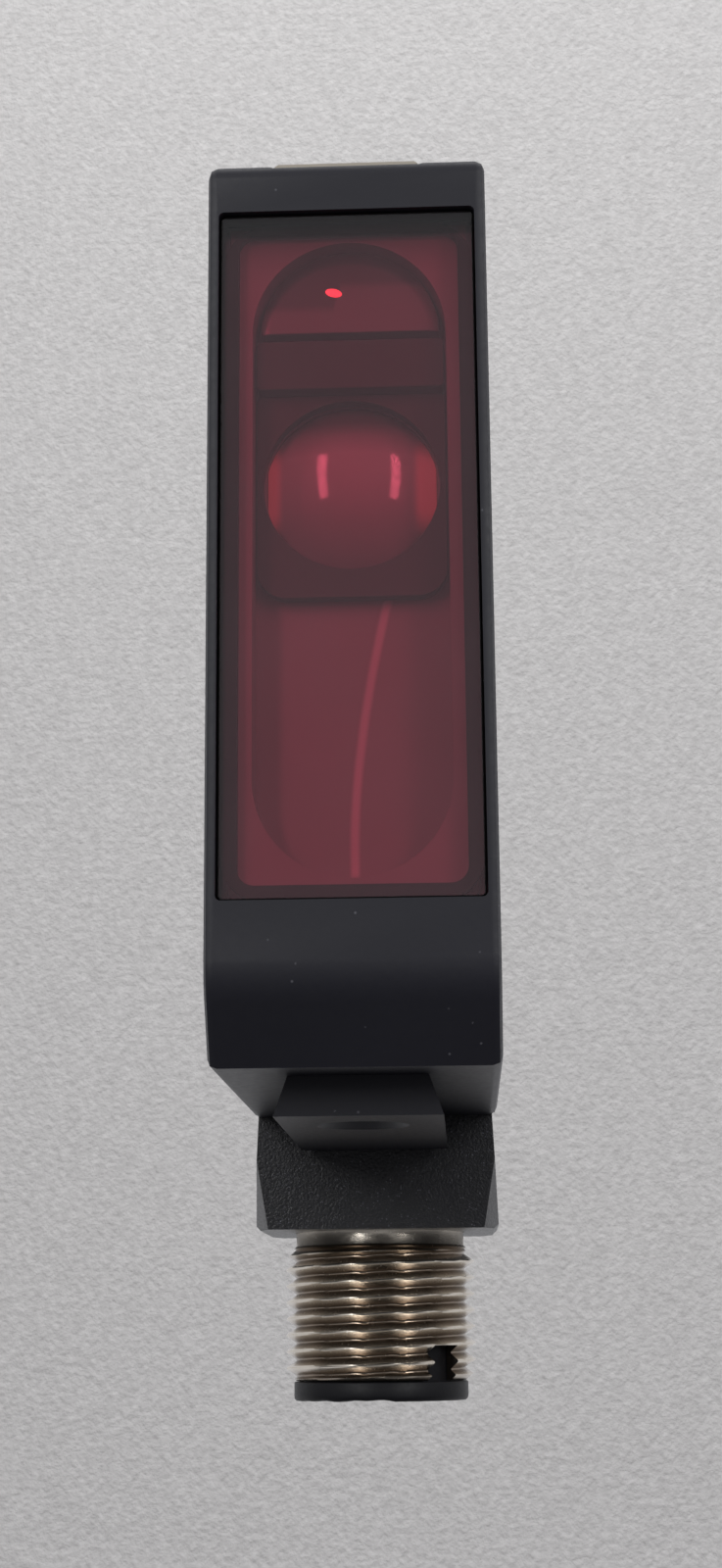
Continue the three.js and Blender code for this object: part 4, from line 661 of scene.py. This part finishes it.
circle.interface.new_socket("Pins", in_out="OUTPUT", socket_type="NodeSocketGeometry")
given = add(circle, "NodeGroupInput").outputs
ring = add(circle, "GeometryNodeMeshCircle", {"Vertices": given["Count"], "Radius": given["Circle Radius"]})
turn_by = add(circle, "ShaderNodeCombineXYZ", {2: given["Turn"]}).outputs[0]
ring = add(circle, "GeometryNodeTransform", {"Geometry": ring.outputs[0], "Translation": given["Centre"],
           "Rotation": turn_by}).outputs[0]
pin_shape = add(circle, "GeometryNodeObjectInfo", {"Object": given["Pin"]}).outputs["Geometry"]
pins = add(circle, "GeometryNodeInstanceOnPoints", {"Points": ring, "Instance": pin_shape}).outputs[0]
pins = add(circle, "GeometryNodeRealizeInstances", {"Geometry": pins}).outputs[0]
pins = add(circle, "GeometryNodeSetMaterial", {"Geometry": pins, "Material": given["Finish"]}).outputs[0]
add(circle, "NodeGroupOutput", {"Pins": pins})
contact_pins = new_piece("contact_pins", bpy.data.meshes.new("contact_pins"), gold)
setting = contact_pins.modifiers.new("pins", "NODES")
setting.node_group = circle
for label, value in {"Pin": one_pin, "Count": 4, "Circle Radius": pin_circle, "Turn": math.radians(45),
                     "Centre": (hinge.x, hinge.y, pin_low.z), "Finish": gold}.items():
    setting[pin_sockets[label].identifier] = value
settled(contact_pins)
bpy.data.objects.remove(one_pin)
contact_pins.data.shade_smooth()
stand_in(contact_pins, "connector", "gold_plate", *[f"contact_pin_{i}" for i in (1, 2, 3, 4)])
print("pin circle in mm:", round(2 * pin_circle / MM, 2), "faces:", len(contact_pins.data.polygons))

# %% [markdown]
# ## The sender's painted glint
# The sender's lens shows one small, very bright red glint, a reflection. A light object could not
# give that shape, so it is a painted glint: a thin blob of glowing red on the lens, wider than it is high.

# %% Painted glint in the sender's lens
glint_finish = surface("sender_painted_glint_finish", "ff4a52", "e02a38", 0.3, 0.5, 0.002)
glint_finish_body = part_of(glint_finish, "body")
# Red emission here is a painted glint, not a lit lamp.
glint_finish_body.inputs["Emission Color"].default_value = (1.0, 0.1, 0.13, 1.0)
glint_finish_body.inputs["Emission Strength"].default_value = 1.4
painted_glint_mesh = bpy.data.meshes.new("sender_spark")
work = bmesh.new()
bmesh.ops.create_uvsphere(work, u_segments=32, v_segments=16, radius=1.0)
painted_glint_shape = Matrix.Diagonal((0.46 * MM, 0.06 * MM, 0.24 * MM, 1.0))
aside, up = -0.87 * MM, sender_low.z + 2.35 * MM
found, on_lens, _, _ = bpy.data.objects["sender_lens_moulding"].ray_cast((aside, cad_low.y, up), (0, 1, 0))
painted_glint_spot = on_lens - Vector((0, 0.03 * MM, 0))
work.transform(Matrix.Translation(painted_glint_spot) @ Matrix.Rotation(math.radians(14), 4, "Y") @ painted_glint_shape)
work.to_mesh(painted_glint_mesh)
work.free()
painted_glint = new_piece("sender_spark", painted_glint_mesh, glint_finish)
painted_glint.data.shade_smooth()
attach(painted_glint, "case")
print("lens found:", found, "spark at mm:", [round(c / MM, 2) for c in painted_glint_spot])

# %% [markdown]
# ## Finishes for the parts that stay as CAD drew them
# Boards, chips, wires, rings and pins inside the case already have the right shape. Each gets the
# finish of its real material in place of the plain CAD colour.

# %% Finishes on CAD nodes
KEPT_FINISHES = {
    solder_mask: ["optics_board", "main_board", "indicator_board"],
    chip_epoxy: ["processor_chip", "output_driver_chip", "receiver_photodiode"],
    tin: ["photodiode_shield", "capacitor_1", "capacitor_2", "capacitor_3"],
    white_nylon: ["board_connector", "potentiometer"],
    lamp_epoxy: ["emitter_led", "power_led", "output_led", "power_light_guide", "output_light_guide"],
    nitrile: ["cover_gasket", "adjuster_o_ring", "wire_grommet", "sleeve_o_ring"],
    steel: ["pivot_pin_left", "pivot_pin_right"],
    brown_pvc: ["lead_1", "plug_lead_1"],
    white_pvc: ["lead_2", "plug_lead_2"],
    blue_pvc: ["lead_3", "plug_lead_3"],
    black_pvc: ["lead_4", "plug_lead_4"],
}
for material, names in KEPT_FINISHES.items():
    for name in names:
        for slot in frame["nodes"][name].material_slots:
            slot.material = material
print("CAD nodes with a finish:", sum(len(names) for names in KEPT_FINISHES.values()))

# %% [markdown]
# ## Floor, light and camera
# The floor is one pale foam sheet, finely grained. It runs level and then bends up behind the
# object, as in a studio, so there is no line between floor and wall. Two tall soft lamps hang left
# and right, in front and above: a polished cylinder shows each as one bright upright line. The rest
# of the light is a dim, even room, darker from below, which keeps the foot of the case nearly black.

# %% The floor sheet
sheet_mesh = bpy.data.meshes.new("floor_sheet")
work = bmesh.new()
FLOOR_Z, WALL_Y, BEND, HALF = -0.32, 0.62, 0.25, 1.3
path = [(-1.0, FLOOR_Z), (WALL_Y - BEND, FLOOR_Z)]
path += [(WALL_Y - BEND + BEND * math.sin(a), FLOOR_Z + BEND - BEND * math.cos(a))
         for a in [math.radians(6 * i) for i in range(1, 15)]]
path += [(WALL_Y, FLOOR_Z + BEND), (WALL_Y, 1.3)]
left = [work.verts.new((-HALF, y, z)) for y, z in path]
right = [work.verts.new((HALF, y, z)) for y, z in path]
for i in range(len(path) - 1):
    work.faces.new((left[i], right[i], right[i + 1], left[i + 1]))
work.to_mesh(sheet_mesh)
work.free()
sheet_mesh.shade_smooth()
floor_foam = surface("pale_foam_sheet", "eceae9", "c3c1c0", 0.6, 2.0, 0.6, patch=2.4)
floor_sheet = new_piece("floor_sheet", sheet_mesh, floor_foam)
floor_sheet.visible_diffuse = False
floor_sheet.visible_glossy = False
print("floor sheet faces:", len(sheet_mesh.polygons))

# %% Lamps and room light
def lamp(name, foot, head, width, watts, aim):
    """A soft strip lamp from foot to head that faces the point aim."""
    foot, head, aim = Vector(foot), Vector(head), Vector(aim)
    data = bpy.data.lights.new(name, "AREA")
    data.shape = "RECTANGLE"
    data.size, data.size_y = width, (head - foot).length
    data.energy = watts
    along = (head - foot).normalized()
    back = (foot + head) / 2 - aim
    back = (back - along * back.dot(along)).normalized()
    holder = bpy.data.objects.new(name, data)
    holder.matrix_world = (Matrix.Translation((foot + head) / 2)
                           @ Matrix((along.cross(back), along, back)).transposed().to_4x4())
    holder.visible_camera = False
    bpy.context.scene.collection.objects.link(holder)


window_middle = (0.0, -0.017, 0.02)
lamp("tall_lamp_left", (-0.27, -0.53, 0.08), (-0.23, -0.33, 0.44), 0.07, 1.2, window_middle)
lamp("tall_lamp_right", (0.35, -0.48, 0.08), (0.29, -0.29, 0.44), 0.07, 1.2, window_middle)
lamp("wall_lamp", (-0.45, 0.2, 0.85), (0.45, 0.2, 0.85), 0.3, 2.4, (0.0, 0.62, 0.3))
room = bpy.data.worlds.new("room")
bpy.context.scene.world = room
room.use_nodes = True
sky = room.node_tree
sky.nodes.clear()
facing = add(sky, "ShaderNodeSeparateXYZ", {0: add(sky, "ShaderNodeTexCoord").outputs["Generated"]}).outputs
upper = add(sky, "ShaderNodeMapRange", {"Value": facing[2], "From Min": -0.45, "From Max": 0.3,
            "To Min": 0.13, "To Max": 0.57}, interpolation_type="SMOOTHSTEP").outputs["Result"]
behind = add(sky, "ShaderNodeMapRange", {"Value": facing[1], "From Min": -0.35, "From Max": 0.35,
             "To Min": 0.0, "To Max": 0.7}, interpolation_type="SMOOTHSTEP").outputs["Result"]
strength = add(sky, "ShaderNodeMath", {0: upper, 1: behind}, operation="MAXIMUM").outputs[0]
light = add(sky, "ShaderNodeBackground", {"Color": (0.97, 0.97, 1.0, 1.0), "Strength": strength})
plain = add(sky, "ShaderNodeBackground", {"Color": linear("c2c1c0"), "Strength": 1.0})
seen = add(sky, "ShaderNodeLightPath").outputs["Is Camera Ray"]
choice = add(sky, "ShaderNodeMixShader", {0: seen, 1: light.outputs[0], 2: plain.outputs[0]})
add(sky, "ShaderNodeOutputWorld", {"Surface": choice.outputs[0]})
print("lamps:", len(bpy.data.lights))

# %% [markdown]
# The camera is close, about 0.13 m from the window, and a little below the case, so the plug looks
# smaller than the front. Its turn is one axis and angle: nearly all of it is the upward tilt.

# %% Camera
lens_data = bpy.data.cameras.new("close_camera")
lens_data.sensor_width = 36.0
lens_data.lens = 53.9
lens_data.clip_start, lens_data.clip_end = 0.005, 10.0
camera = bpy.data.objects.new("close_camera", lens_data)
tilt = Vector((0.2324, 0.0134, 0.0429))
turned_by = Quaternion(tilt.normalized(), tilt.length).to_matrix().to_4x4()
camera.matrix_world = (Matrix.Translation((0.00543, -0.13321, -0.01131)) @ turned_by
                       @ Matrix.Rotation(math.radians(90), 4, "X"))
bpy.context.scene.collection.objects.link(camera)
bpy.context.scene.camera = camera
bpy.context.scene.view_settings.view_transform = "Standard"
print("camera at mm:", [round(c / MM, 1) for c in camera.location])
